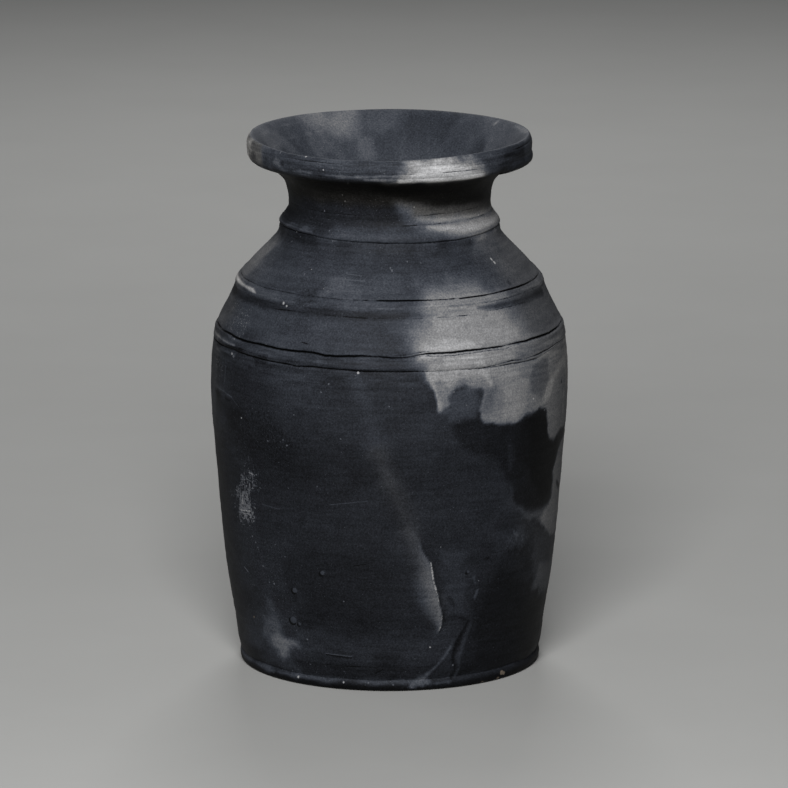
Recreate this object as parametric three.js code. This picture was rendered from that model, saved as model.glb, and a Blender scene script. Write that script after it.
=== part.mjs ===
// A broad-shouldered clay jar with a short neck and a wide flared rim, turned in sections that are
// luted to each other before firing. Millimetres, Z up, standing on Z = 0, with its axis on Z.
import * as THREE from 'three';

// Every outline is drawn in the half plane of [radius, height] and turned about the axis.
const facets = 72;

// Foot: a turned disc whose edge stands a little proud of the wall.
const foot = {
  radius: 98.7,
  edgeRound: 3,
  creaseRadius: 98,
  ledge: 7.4,
  floor: 12,
  innerRadius: 89.3,
  roundSteps: 3,
  sideSteps: 2,
};

// Belly: a slow swelling curve, fullest at half height. Inside it follows at one wall's thickness.
const belly = {
  wall: 9,
  low: new THREE.Vector2(106.5, 58),
  middle: new THREE.Vector2(112.1, 111),
  full: new THREE.Vector2(117.1, 178.5),
  top: new THREE.Vector2(115.2, 215.5),
  outerSteps: 9,
  innerSteps: 6,
};

// Seam of belly and shoulder: a coil of clay lies round it in a shallow seat.
const seam = {
  seatRadius: 111,
  joint: 220,
  bandTop: 224.7,
  bandTopRadius: 113.4,
  bandSwell: 2.8,
  tongueRadius: 107.3,
  tongueTop: 224,
  innerRadius: 103.6,
  bandSteps: 4,
};

// Shoulder: a rounded lower ring that ends in a bead, and a straight cone up to the collar.
const shoulder = {
  lowRadius: 112.8,
  turn: new THREE.Vector2(107.2, 237.7),
  beadFoot: new THREE.Vector2(100.7, 252.4),
  beadSwell: 3.2,
  beadSteps: 4,
  joint: 257.8,
  jointRadius: 97.6,
  tongueRadius: 90.5,
  tongueTop: 260.8,
  innerTurn: new THREE.Vector2(98.6, 241),
  innerRadius: 84.2,
  collarFoot: new THREE.Vector2(72.8, 284.9),
  upstandRadius: 71.9,
  outerSteps: 4,
  innerSteps: 3,
};

// Collar and neck: the neck sits on the shoulder's upstand and steps in to its narrowest.
const neck = {
  joint: 290.6,
  jointRadius: 71.5,
  collarRadius: 72.2,
  collarRound: 1.2,
  collarTop: 295,
  stepTop: 302,
  radius: 66.1,
  flareStart: 308,
  tongueRadius: 65.2,
  tongueTop: 293.6,
  throatRadius: 57.3,
  throatTop: 313,
};

// Rim: a thick rounded lip round a funnel mouth.
const rim = {
  height: 350,
  radius: 93,
  arris: 0.8,
  undersideHeight: 331.6,
  undersideRadius: 85,
  lipRound: 9,
  flareSteps: 5,
  landRadius: 85.2,
  landDrop: 1.2,
  roundSteps: 4,
  funnelSteps: 5,
};

// Grooves at the seams are shallow V cuts in the outside of the pieces that meet there.
const groove = { depth: 0.7, width: 1 };

const smokedClay = new THREE.MeshStandardMaterial({ color: 0x2a2c31, roughness: 0.62, metalness: 0 });

function at(radius, height) {
  return new THREE.Vector2(radius, height);
}

// Points of a smooth line through the given stations, without its first one.
function through(stations, steps) {
  return new THREE.SplineCurve(stations).getPoints(steps).slice(1);
}

// Points of a line that leaves one end towards a corner and reaches the other end from it.
function bend(start, corner, end, steps) {
  return new THREE.QuadraticBezierCurve(start, corner, end).getPoints(steps).slice(1);
}

// Midpoint of two points, moved outwards: the corner that a bead or a band bends round.
function crown(start, end, swell) {
  const middle = start.clone().lerp(end, 0.5);
  const outwards = at(end.y - start.y, start.x - end.x).normalize();
  return middle.addScaledVector(outwards, swell);
}

// A named piece: its closed outline turned about the axis, then stood up so that Z is the axis.
function turned(name, outline) {
  const closed = outline[0].x === 0 ? outline : [...outline, outline[0].clone()];
  const geometry = new THREE.LatheGeometry(closed, facets);
  geometry.rotateX(Math.PI / 2);
  const piece = new THREE.Mesh(geometry, smokedClay);
  piece.name = name;
  return piece;
}

function baseSlab() {
  const flat = at(foot.radius - foot.edgeRound, 0);
  const side = at(foot.radius, foot.edgeRound);
  const ledgeEdge = at(foot.creaseRadius, foot.ledge);
  return turned('base_slab', [
    at(0, 0),
    flat,
    ...bend(flat, at(foot.radius, 0), side, foot.roundSteps),
    ...bend(side, at(foot.radius, foot.ledge - groove.width), ledgeEdge, foot.sideSteps),
    at(foot.innerRadius, foot.ledge),
    at(foot.innerRadius, foot.floor),
    at(0, foot.floor),
  ]);
}

function bellyWall() {
  const start = at(foot.creaseRadius, foot.ledge);
  const outer = [start, belly.low, belly.middle, belly.full, belly.top];
  const bandFoot = at(belly.top.x - groove.depth, belly.top.y);
  const inside = [at(seam.innerRadius, seam.tongueTop)];
  for (const station of [belly.full, belly.middle, belly.low]) {
    inside.push(at(station.x - belly.wall, station.y));
  }
  inside.push(at(foot.innerRadius, foot.floor));
  return turned('belly_wall', [
    start,
    ...through(outer, belly.outerSteps),
    bandFoot,
    at(seam.seatRadius, belly.top.y),
    at(seam.seatRadius, seam.joint),
    at(seam.tongueRadius, seam.joint),
    at(seam.tongueRadius, seam.tongueTop),
    inside[0],
    ...through(inside, belly.innerSteps),
    at(foot.innerRadius, foot.ledge),
  ]);
}

function seamBand() {
  const low = at(belly.top.x - groove.depth, belly.top.y);
  const high = at(seam.bandTopRadius - groove.depth, seam.bandTop);
  return turned('seam_band', [
    at(seam.seatRadius, seam.bandTop),
    at(seam.seatRadius, belly.top.y),
    low,
    ...bend(low, crown(low, high, seam.bandSwell), high, seam.bandSteps),
  ]);
}

function lowerShoulder() {
  const low = at(shoulder.lowRadius, seam.bandTop);
  const beadTop = at(shoulder.jointRadius - groove.depth, shoulder.joint);
  const beadCrown = crown(shoulder.beadFoot, beadTop, shoulder.beadSwell);
  const innerLow = at(seam.innerRadius, seam.tongueTop);
  const innerHigh = at(shoulder.innerRadius, shoulder.tongueTop);
  return turned('lower_shoulder', [
    at(seam.seatRadius, seam.bandTop),
    low,
    ...through([low, shoulder.turn, shoulder.beadFoot], shoulder.outerSteps),
    ...bend(shoulder.beadFoot, beadCrown, beadTop, shoulder.beadSteps),
    at(shoulder.tongueRadius, shoulder.joint),
    at(shoulder.tongueRadius, shoulder.tongueTop),
    innerHigh,
    ...through([innerHigh, shoulder.innerTurn, innerLow], shoulder.innerSteps),
    at(seam.tongueRadius, seam.tongueTop),
    at(seam.tongueRadius, seam.joint),
    at(seam.seatRadius, seam.joint),
  ]);
}

function upperShoulder() {
  const low = at(shoulder.jointRadius - groove.depth, shoulder.joint);
  const slopeStart = at(shoulder.jointRadius - groove.width / 2, shoulder.joint + groove.width);
  const upstand = at(shoulder.upstandRadius, shoulder.collarFoot.y + groove.width * 2);
  const innerLow = at(shoulder.innerRadius, shoulder.tongueTop);
  const innerHigh = at(neck.throatRadius, neck.tongueTop);
  const innerCorner = at(neck.throatRadius, shoulder.collarFoot.y);
  return turned('upper_shoulder', [
    at(shoulder.tongueRadius, shoulder.joint),
    low,
    slopeStart,
    shoulder.collarFoot,
    upstand,
    at(neck.jointRadius, neck.joint),
    at(neck.tongueRadius, neck.joint),
    at(neck.tongueRadius, neck.tongueTop),
    innerHigh,
    ...bend(innerHigh, innerCorner, innerLow, shoulder.innerSteps),
    at(shoulder.tongueRadius, shoulder.tongueTop),
  ]);
}

function neckAndRim() {
  const collarEdge = at(neck.collarRadius, neck.joint + neck.collarRound);
  const collarTop = at(neck.collarRadius - groove.depth, neck.collarTop);
  const step = at(neck.radius, neck.stepTop);
  const waist = at(neck.radius, neck.flareStart);
  const underside = at(rim.undersideRadius, rim.undersideHeight);
  const lipLow = at(rim.radius, rim.undersideHeight + rim.lipRound);
  const lipFlare = at(neck.radius, rim.undersideHeight);
  const land = at(rim.landRadius, rim.height - rim.landDrop);
  const throat = at(neck.throatRadius, neck.throatTop);
  return turned('neck_and_rim', [
    at(neck.tongueRadius, neck.joint),
    at(neck.jointRadius, neck.joint),
    collarEdge,
    collarTop,
    step,
    waist,
    ...bend(waist, lipFlare, underside, rim.flareSteps),
    ...bend(underside, at(rim.radius, rim.undersideHeight), lipLow, rim.roundSteps),
    at(rim.radius, rim.height - rim.arris),
    at(rim.radius - rim.arris, rim.height),
    land,
    ...bend(land, at(neck.throatRadius + belly.wall, neck.throatTop + belly.wall), throat, rim.funnelSteps),
    at(neck.throatRadius, neck.tongueTop),
    at(neck.tongueRadius, neck.tongueTop),
  ]);
}

const jar = new THREE.Group();
jar.add(baseSlab(), bellyWall(), seamBand(), lowerShoulder(), upperShoulder(), neckAndRim());

export default jar;
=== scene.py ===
"""A tall smoke-fired clay jar, turned in six sections, on a pale floor.

The frame gives the heights of the seams and the widest radii. Over it every section is drawn again as
a fine closed mesh: its outline is turned about Z, and one shared relief, a function of azimuth and
height, presses grooves, cracks, folds and blisters into all of them alike. Lengths are millimetres
until a mesh is made, and metres in the shader. Azimuth 0 is the front, and it grows towards +X.
"""
import math

import bpy
import numpy as np
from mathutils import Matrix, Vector


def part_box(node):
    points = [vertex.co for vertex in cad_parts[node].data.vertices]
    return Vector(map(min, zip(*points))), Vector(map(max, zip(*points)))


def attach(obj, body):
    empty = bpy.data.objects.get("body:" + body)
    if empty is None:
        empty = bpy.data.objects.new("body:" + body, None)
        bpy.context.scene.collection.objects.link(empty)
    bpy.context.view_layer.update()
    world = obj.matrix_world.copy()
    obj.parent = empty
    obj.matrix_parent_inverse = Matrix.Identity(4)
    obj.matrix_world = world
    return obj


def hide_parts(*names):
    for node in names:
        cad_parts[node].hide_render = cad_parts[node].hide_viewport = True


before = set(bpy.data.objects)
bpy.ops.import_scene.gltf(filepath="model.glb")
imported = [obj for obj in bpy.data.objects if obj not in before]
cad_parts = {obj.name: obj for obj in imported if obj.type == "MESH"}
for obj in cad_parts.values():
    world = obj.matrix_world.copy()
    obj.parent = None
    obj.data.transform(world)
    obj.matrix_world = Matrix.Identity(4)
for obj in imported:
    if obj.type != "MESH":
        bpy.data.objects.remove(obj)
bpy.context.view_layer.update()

MM = 0.001


def lowest(node):
    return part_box(node)[0].z / MM


def highest(node):
    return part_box(node)[1].z / MM


def widest(node):
    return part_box(node)[1].x / MM


# Heights where the sections meet, and the widest radii, all from the frame.
FOOT_CREASE = lowest("belly_wall")
BAND_LOW = lowest("seam_band")
BAND_TOP = highest("seam_band")
BEAD_TOP = lowest("upper_shoulder")
COLLAR_LOW = lowest("neck_and_rim")
RIM_TOP = highest("neck_and_rim")
FLOOR_TOP = highest("base_slab")
WALL_TOP = highest("belly_wall")
BEAD_TONGUE_TOP = highest("lower_shoulder")
COLLAR_TONGUE_TOP = highest("upper_shoulder")
SEAT_LOW = lowest("lower_shoulder")
FOOT_RADIUS = widest("base_slab")
BELLY_RADIUS = widest("belly_wall")
RIM_RADIUS = widest("neck_and_rim")

# The foot's round edge, the belly's widest height, and room inside its widest radius for the relief.
FOOT_ROUND = 3.0
FULL_HEIGHT = 178.5
RELIEF_ROOM = 0.08

# Radii of the stepped seats inside the wall, which nobody sees.
FOOT_SEAT = 89.3
BAND_SEAT = 111.0
BAND_TONGUE = 107.3
WALL_INNER = 103.6
BEAD_TONGUE = 90.5
BEAD_INNER = 84.2
COLLAR_TONGUE = 65.2
THROAT_RADIUS = 57.3
THROAT_TOP = 313.0

# Corners where the sections meet, outside and inside, as (radius, height).
FOOT_EDGE = (98.0, FOOT_CREASE)
BAND_LOW_EDGE = (115.2, BAND_LOW)
BAND_TOP_EDGE = (113.4, BAND_TOP)
BEAD_EDGE = (97.6, BEAD_TOP)
COLLAR_EDGE = (71.5, COLLAR_LOW)
CREST = (90.3, RIM_TOP)
FLOOR_EDGE = (FOOT_SEAT, FLOOR_TOP)
WALL_CORNER = (WALL_INNER, WALL_TOP)
BEAD_CORNER = (BEAD_INNER, BEAD_TONGUE_TOP)
THROAT_CORNER = (THROAT_RADIUS, COLLAR_TONGUE_TOP)

# A radius for noise and marks that are laid out flat.
NOMINAL_RADIUS = 100.0

# Mesh: columns round the jar, closer together at the front, and the spacing of rows.
COARSER = 1
FRONT_COLUMNS = 424 // COARSER
BACK_COLUMNS = 136 // COARSER
PLAIN_ROW = 1.5 * COARSER
LINE_ROW = 0.4
LINE_REACH = 1.3
FINE_ROW = 0.7
BAND_ROW = 0.3
FUNNEL_ROW = 1.3
FLAT_ROW = 4.0
THROAT_ROW = 3.0
HIDDEN_ROW = 14.0
TRACE_STEP = 0.1
SAME_POINT = 1e-4

# Which side of the wall a row of the mesh is on.
HIDDEN = 0
OUTSIDE = 1
INSIDE = 2


# Outlines

def through(stations):
    """A fine smooth line through the stations, as points of [radius, height]."""
    points = np.array(stations, float)
    chord = np.hypot(*np.diff(points, axis=0).T)
    place = np.concatenate([[0], np.cumsum(chord)])
    slope = np.gradient(points, place, axis=0)
    traced = [points[:1]]
    for i, length in enumerate(chord):
        steps = max(2, math.ceil(length / TRACE_STEP))
        t = np.linspace(0, 1, steps + 1)[1:, None]
        rise = length * (t * (1 - t) ** 2 * slope[i] + t * t * (t - 1) * slope[i + 1])
        along = t * t * (3 - 2 * t)
        traced.append(points[i] * (1 - along) + points[i + 1] * along + rise)
    return np.vstack(traced)


def bend(start, corner, end):
    """A fine line that leaves one end towards a corner and reaches the other end from it."""
    start, corner, end = (np.array(p, float) for p in (start, corner, end))
    steps = math.ceil(np.hypot(*(end - start)) / TRACE_STEP)
    t = np.linspace(0, 1, steps + 1)[:, None]
    return (1 - t) ** 2 * start + 2 * t * (1 - t) * corner + t * t * end


def rows_along(line, spacing):
    """Points of the line at the wanted spacing, which may change from place to place."""
    chord = np.hypot(*np.diff(line, axis=0).T)
    middle = (line[1:] + line[:-1]) / 2
    wanted = spacing(middle) if callable(spacing) else spacing
    place = np.concatenate([[0], np.cumsum(chord / wanted)])
    stops = np.linspace(0, place[-1], max(2, math.ceil(place[-1]) + 1))
    return np.column_stack([np.interp(stops, place, line[:, k]) for k in range(2)])


def straight(*points, spacing=HIDDEN_ROW):
    """Rows along straight hidden faces, from corner to corner."""
    line = np.array(points, float)
    rows = [line[:1]]
    for a, b in zip(line[:-1], line[1:]):
        rows.append(rows_along(np.vstack([a, b]), spacing)[1:])
    return np.vstack(rows)


# Azimuth and height noise that closes round the jar

ROUGH_TERMS = 14


def ripple(azimuth, height, around, length, terms, seed):
    """Smooth random swell of about unit size: waves round the jar up to `around`, up it from `length`."""
    chance = np.random.default_rng(seed)
    total = 0.0
    for _ in range(terms):
        turns = chance.integers(-around, around + 1)
        rate = chance.uniform(-1, 1) * 2 * math.pi / length
        phase = chance.uniform(0, 2 * math.pi)
        total = total + np.cos(turns * azimuth + rate * height + phase)
    return total / math.sqrt(terms / 2)


def rough(azimuth, height, coarse, seed, octaves=5):
    """Rough noise: ripples that halve in size and strength. `coarse` is the largest wave in mm."""
    total = 0.0
    for octave in range(octaves):
        size = coarse / 2 ** octave
        around = max(2, int(2 * math.pi * NOMINAL_RADIUS / size))
        total = total + ripple(azimuth, height, around, size, ROUGH_TERMS, seed + octave) / 2 ** octave
    return total


def ease(value, low, high):
    """0 up to the low limit, 1 from the high one on, and smooth between them."""
    t = np.clip((value - low) / (high - low), 0, 1)
    return t * t * (3 - 2 * t)


def curve(value, stops):
    """The curve through (place, value) stops."""
    return np.interp(value, *np.array(stops, float).T)


# Turned lines. Heights are where they run; lift and strength are set at azimuths in degrees.

ALL_ROUND = [(-180, 1), (180, 1)]
LEVEL = [(-180, 0), (180, 0)]
JAG_SIZE = 30
WORN_SIZE = 40
WORN_SEED = 50
WORN = 0.25
DEEPEST = 1.4


class Line:
    """A groove or crack that runs round the jar."""

    def __init__(self, height, depth, width, dark, lift=LEVEL, strength=ALL_ROUND, ragged=0.1, seam=False):
        self.height = height
        self.depth = depth
        self.width = width
        self.dark = dark
        self.lift = lift
        self.strength = strength
        self.ragged = ragged
        self.seam = seam
        self.seed = int(height * 10)

    def rise(self, azimuth):
        """How far the line runs above its nominal height."""
        jag = rough(azimuth, 0 * azimuth, JAG_SIZE, self.seed)
        return curve(np.degrees(azimuth), self.lift) + self.ragged * jag

    def force(self, azimuth):
        """How deep and dark the line is, from 0 up."""
        worn = 1 - WORN * rough(azimuth, 0 * azimuth, WORN_SIZE, self.seed + WORN_SEED)
        return np.clip(curve(np.degrees(azimuth), self.strength) * worn, 0, DEEPEST)

    def trace(self, skin, width):
        """How much of the line is at each place. A seam runs level here, because warp() bends it."""
        around = skin.azimuth[:, :1]
        centre = self.height + (0 if self.seam else self.rise(around))
        return self.force(around) * np.exp(-((skin.height - centre) / width) ** 2)


CRACK = Line(
    BAND_TOP, depth=1.1, width=0.6, dark=1.05, ragged=0.25, seam=True,
    lift=[(-180, 0.2), (-80, 1.0), (-67, 0.8), (-60, 0.2), (-47, -0.3), (-24, -0.1), (-21.5, -0.9),
          (0, -0.4), (7, -0.3), (9, 0.6), (12, 1.3), (45, 1.5), (80, 2.0), (180, 0.2)],
    strength=[(-180, 0.6), (-82, 0.6), (-68, 1.1), (-40, 1.2), (-23, 1.2), (-17, 0.9), (-8, 0.65), (8, 0.7),
              (15, 0.65), (18, 1.1), (62, 1.15), (72, 0.9), (80, 0.4), (180, 0.6)],
)
CRACK_HIGH = Line(
    225.9, depth=0.4, width=0.4, dark=0.75, ragged=0.12,
    lift=[(-180, 0), (1, 0), (8, 0.3), (14, 0.2), (180, 0.2)],
    strength=[(-180, 0), (0, 0), (3, 0.9), (11, 1), (16, 0), (180, 0)],
)
CRACK_BRANCH = Line(
    223.4, depth=0.35, width=0.4, dark=0.7, ragged=0.2,
    lift=[(-180, 0.5), (2, 0.8), (10, 0.4), (14, -0.2), (20, 0.2), (31, -0.5), (46, 0.6), (180, 0.6)],
    strength=[(-180, 0), (4, 0), (8, 0.9), (16, 1), (26, 0.6), (44, 0.5), (50, 0), (180, 0)],
)
BAND_FOOT = Line(
    BAND_LOW, depth=0.8, width=0.6, dark=0.95, ragged=0.16, seam=True,
    lift=[(-180, 0.5), (-80, 0.6), (-62, 1.6), (-56, 1.2), (-40, 0.4), (-31, -0.2), (-25, 0.7), (-10, 0),
          (10, -0.3), (30, -1.3), (56, -2.0), (70, 1.2), (180, 0.5)],
    strength=[(-180, 0.6), (-75, 1), (-45, 1), (-10, 0.8), (12, 0.55), (40, 0.6), (55, 0.5), (58, 0),
              (70, 0), (90, 0.4), (180, 0.6)],
)
BAND_FOOT_BRANCH = Line(
    217.0, depth=0.4, width=0.45, dark=0.7, ragged=0.18,
    lift=[(-180, 2.6), (-62, 2.4), (-50, 1.2), (-46, 0.4), (10, -1.4), (30, -1), (45, 0.4), (60, 0.6),
          (78, -0.4), (180, 0.8)],
    strength=[(-180, 0), (-64, 0), (-58, 0.8), (-50, 0.5), (-46, 0), (8, 0), (14, 0.3), (32, 0.8), (60, 1),
              (74, 0.8), (84, 0), (180, 0)],
)
BEAD_LINE = Line(
    BEAD_TOP, depth=0.8, width=0.42, dark=1.0, ragged=0.06, seam=True,
    lift=[(-180, 0), (-48, 0.5), (-10, 0.2), (10, 0), (26, -0.4), (28, -0.6), (47, -0.2), (69, 0.2),
          (180, 0)],
    strength=[(-180, 0.3), (-16, 0.35), (-14, 0.3), (-13, 1), (-8, 1), (-7, 0.2), (-5.5, 0.2), (-4.5, 1.1),
              (25, 1.1), (26, 0.2), (27, 0.2), (28, 0.9), (45, 1.2), (72, 0.9), (90, 0.4), (180, 0.2)],
)
BEAD_FOOT = Line(
    253.0, depth=0.25, width=0.5, dark=0.5, ragged=0.08,
    lift=[(-180, 0), (31, 0), (65, 1.2), (180, 0)],
    strength=[(-180, 0.1), (16, 0.1), (24, 0.5), (40, 0.8), (66, 0.8), (80, 0.2), (180, 0.1)],
)
SHOULDER_SCRATCH = Line(
    247.4, depth=0.25, width=0.42, dark=0.75, ragged=0.12,
    lift=[(-180, 0.6), (-41, 0.4), (-3, 0), (30, -0.4), (37, 0.4), (56, 0.6), (180, 0.6)],
    strength=[(-180, 0), (-50, 0), (-42, 1), (-38, 1), (-36, 0.5), (-33, 1), (-30, 0.3), (-27, 0.9),
              (-21, 1), (-19, 0.4), (-16, 1), (-9, 0.9), (-7, 0.2), (-3, 0.7), (2, 0.1), (9, 0.6), (16, 0.2),
              (18, 0.7), (24, 0.3), (28, 0.8), (32, 0.1), (44, 0.4), (58, 0.5), (62, 0), (180, 0)],
)
COLLAR_LINE = Line(
    COLLAR_LOW, depth=0.6, width=0.42, dark=0.85, ragged=0.05, seam=True,
    lift=[(-180, 0), (-76, 1.4), (-43, 1.1), (-39, 0.5), (5, -0.6), (39, -0.9), (52, -0.3), (72, 0.6),
          (180, 0)],
    strength=[(-180, 0.5), (-60, 0.5), (-30, 0.3), (-4, 0.35), (24, 0.6), (40, 0.6), (49, 0.12), (80, 0.06),
              (100, 0.4), (180, 0.5)],
)
COLLAR_LOW_LINE = Line(
    286.6, depth=0.15, width=0.5, dark=0.35, ragged=0.08,
    lift=[(-180, 0.6), (-53, 0.8), (-20, 0.4), (5, -1.6), (60, -1), (180, 0.6)],
    strength=[(-180, 0.3), (-64, 0.9), (-20, 0.8), (5, 0.5), (60, 0.3), (180, 0.3)],
)
NECK_LINE_LOW = Line(
    300.9, depth=0.15, width=0.5, dark=0.5, ragged=0.08,
    strength=[(-180, 0.3), (-30, 0.2), (6, 0.5), (14, 1), (60, 0.8), (90, 0.4), (180, 0.3)],
)
NECK_LINE_HIGH = Line(307.0, depth=0.12, width=0.5, dark=0.4, ragged=0.08)
COLLAR_RING = Line(297.6, depth=0.12, width=0.6, dark=0.12, ragged=0.05)
FOOT_NOTCH = Line(FOOT_CREASE, depth=0.25, width=1.2, dark=0.1, ragged=0.25, seam=True)
FOOT_RING = Line(
    16.0, depth=0.2, width=0.6, dark=0.55, ragged=0.1,
    lift=[(-180, 0), (-36, 0), (-10, 0.4), (20, -0.4), (60, -1), (180, 0)],
    strength=[(-180, 0.2), (-44, 0.1), (-34, 0.8), (-8, 0.8), (4, 0.4), (30, 0.2), (50, 0.3), (180, 0.2)],
)
LIP_LINES = [
    Line(347.4, depth=0.22, width=0.4, dark=0.6, ragged=0.06,
         strength=[(-180, 0.5), (-66, 0.2), (-50, 0.8), (-30, 0.9), (0, 0.4), (38, 0.3), (60, 0.8),
                   (180, 0.5)]),
    Line(345.6, depth=0.1, width=0.35, dark=0.3, ragged=0.06),
    Line(342.6, depth=0.12, width=0.4, dark=0.3, ragged=0.08),
    Line(339.6, depth=0.14, width=0.35, dark=0.6, ragged=0.08,
         strength=[(-180, 0.4), (0, 0.4), (8, 0.9), (16, 0.5), (24, 0.9), (44, 0.7), (58, 0.3), (180, 0.4)]),
    Line(336.2, depth=0.12, width=0.4, dark=0.2, ragged=0.08),
]
LINES = [
    CRACK, CRACK_HIGH, CRACK_BRANCH, BAND_FOOT, BAND_FOOT_BRANCH, BEAD_LINE, BEAD_FOOT, SHOULDER_SCRATCH,
    COLLAR_LINE, COLLAR_LOW_LINE, NECK_LINE_LOW, NECK_LINE_HIGH, COLLAR_RING, FOOT_NOTCH, FOOT_RING,
    *LIP_LINES,
]


# Marks. Corners are (azimuth in degrees, height in mm).

FRAY_SIZE = 22
FRAY_SEED = 91
FRAY_REACH = 3
SPOT_LENGTH = 0.01
NOT_ZERO = 1e-9


def wrapped(angle):
    return (angle + math.pi) % (2 * math.pi) - math.pi


def middle_of(points):
    azimuths = [a for a, _ in points]
    return (min(azimuths) + max(azimuths)) / 2


def steps_to(azimuth, height, radius, point, centre):
    """From every vertex to a point, in mm round the wall and up it."""
    across = (math.radians(point[0] - centre) - wrapped(azimuth - math.radians(centre))) * radius
    return across, point[1] - height


def to_segment(ax, ay, bx, by):
    """Distance in mm to the straight stroke between two points, and where along it."""
    dx = bx - ax
    dy = by - ay
    along = np.clip(-(ax * dx + ay * dy) / (dx * dx + dy * dy + NOT_ZERO), 0, 1)
    return np.hypot(ax + along * dx, ay + along * dy), along


class Skin:
    """A visible stretch of wall: where its vertices lie, and the noise that frays the marks on it."""

    def __init__(self, azimuth, height, radius):
        self.azimuth, self.height, self.radius = np.broadcast_arrays(azimuth, height, radius)
        self.fray = rough(azimuth, height + 0 * azimuth, FRAY_SIZE, FRAY_SEED)

    def window(self, points, reach):
        """The vertices near the points, as columns and rows."""
        azimuths = [a for a, _ in points]
        heights = [h for _, h in points]
        middle = math.radians(min(azimuths) + max(azimuths)) / 2
        half = math.radians(max(azimuths) - min(azimuths)) / 2 + reach / self.radius.min()
        columns = np.flatnonzero((np.abs(wrapped(self.azimuth - middle)) <= half).any(axis=1))
        level = self.height[0]
        rows = np.flatnonzero((level >= min(heights) - reach) & (level <= max(heights) + reach))
        return np.ix_(columns, rows)


class Mark:
    """Something on the clay with a soft edge, edge mm to each side of its outline, frayed by fray mm."""

    def __init__(self, points, edge, shade=None, strength=1.0, fray=1.0):
        self.points = points
        self.edge = edge
        self.shade = shade
        self.strength = strength
        self.fray = fray
        self.reach = edge + FRAY_REACH * fray

    def cover(self, skin):
        """How much of it lies on each vertex, from 0 to its strength."""
        cover = np.zeros(skin.azimuth.shape)
        window = skin.window(self.points, self.reach)
        if window[0].size and window[1].size:
            depth = self.depth(skin.azimuth[window], skin.height[window], skin.radius[window])
            depth = depth + self.fray * skin.fray[window]
            cover[window] = self.strength * ease(depth, -self.edge, self.edge)
        return cover


class Area(Mark):
    """A patch with given corners."""

    def depth(self, azimuth, height, radius):
        """Distance inside its outline, less than 0 outside."""
        centre = middle_of(self.points)
        nearest = np.full(azimuth.shape, np.inf)
        inside = np.zeros(azimuth.shape, bool)
        for a, b in zip(self.points, self.points[1:] + self.points[:1]):
            ax, ay = steps_to(azimuth, height, radius, a, centre)
            bx, by = steps_to(azimuth, height, radius, b, centre)
            nearest = np.minimum(nearest, to_segment(ax, ay, bx, by)[0])
            share = -ay / np.where(by == ay, 1, by - ay)
            inside ^= ((ay > 0) != (by > 0)) & (0 < ax + share * (bx - ax))
        return np.where(inside, nearest, -nearest)


class Stroke(Mark):
    """A soft line through given points, with one half width or one for each point."""

    def __init__(self, points, widths, edge, shade=None, strength=1.0, fray=0.3):
        super().__init__(points, edge, shade, strength, fray)
        self.widths = widths if hasattr(widths, "__len__") else [widths] * len(points)
        self.reach = self.reach + max(self.widths)

    def depth(self, azimuth, height, radius):
        """Distance inside its outline, less than 0 outside."""
        centre = middle_of(self.points)
        best = np.full(azimuth.shape, -np.inf)
        for a, b, wide_a, wide_b in zip(self.points, self.points[1:], self.widths, self.widths[1:]):
            start = steps_to(azimuth, height, radius, a, centre)
            end = steps_to(azimuth, height, radius, b, centre)
            distance, along = to_segment(*start, *end)
            best = np.maximum(best, wide_a + along * (wide_b - wide_a) - distance)
        return best


def spot(azimuth, height, size, edge, shade=None, strength=1.0, fray=0.0):
    """A round mark."""
    return Stroke([(azimuth, height), (azimuth + SPOT_LENGTH, height)], size, edge, shade, strength, fray)


# Shades are how pale the clay looks, on the scale of the eye: 0 is black and 1 is white.
# The plain clay first, from the foot up to the lip, and then what lies over it, in order.
# Painted light in the plain clay: shade on the foot's underside, a highlight on its round edge and shade
# just above it, shade under the bead and under the lip, and the upward-facing shoulders paler than the
# belly, as light from above.
PLAIN_CLAY = [
    (0, 0.05), (3, 0.07), (5, 0.125), (6.5, 0.14), (8.5, 0.13), (12, 0.12), (15, 0.105), (18, 0.135),
    (32, 0.145), (45, 0.12), (62, 0.118), (90, 0.13), (120, 0.145), (150, 0.135), (170, 0.16), (205, 0.16),
    (212, 0.17), (218, 0.18), (223, 0.20), (230, 0.21), (245, 0.215), (246.6, 0.18), (248.4, 0.15),
    (250.6, 0.165), (252.4, 0.235), (257, 0.235), (259, 0.21), (268, 0.22), (277, 0.20), (285, 0.165),
    (289, 0.145), (293, 0.17), (299, 0.12), (318, 0.115), (331, 0.09), (334, 0.15), (336, 0.20),
    (340, 0.205), (350, 0.235),
]
PLAIN_FUNNEL = [(313, 0.16), (322, 0.245), (330, 0.235), (340, 0.25), (350, 0.275)]
SOOT = 0.095
UNSEEN_SHADE = 0.15

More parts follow.
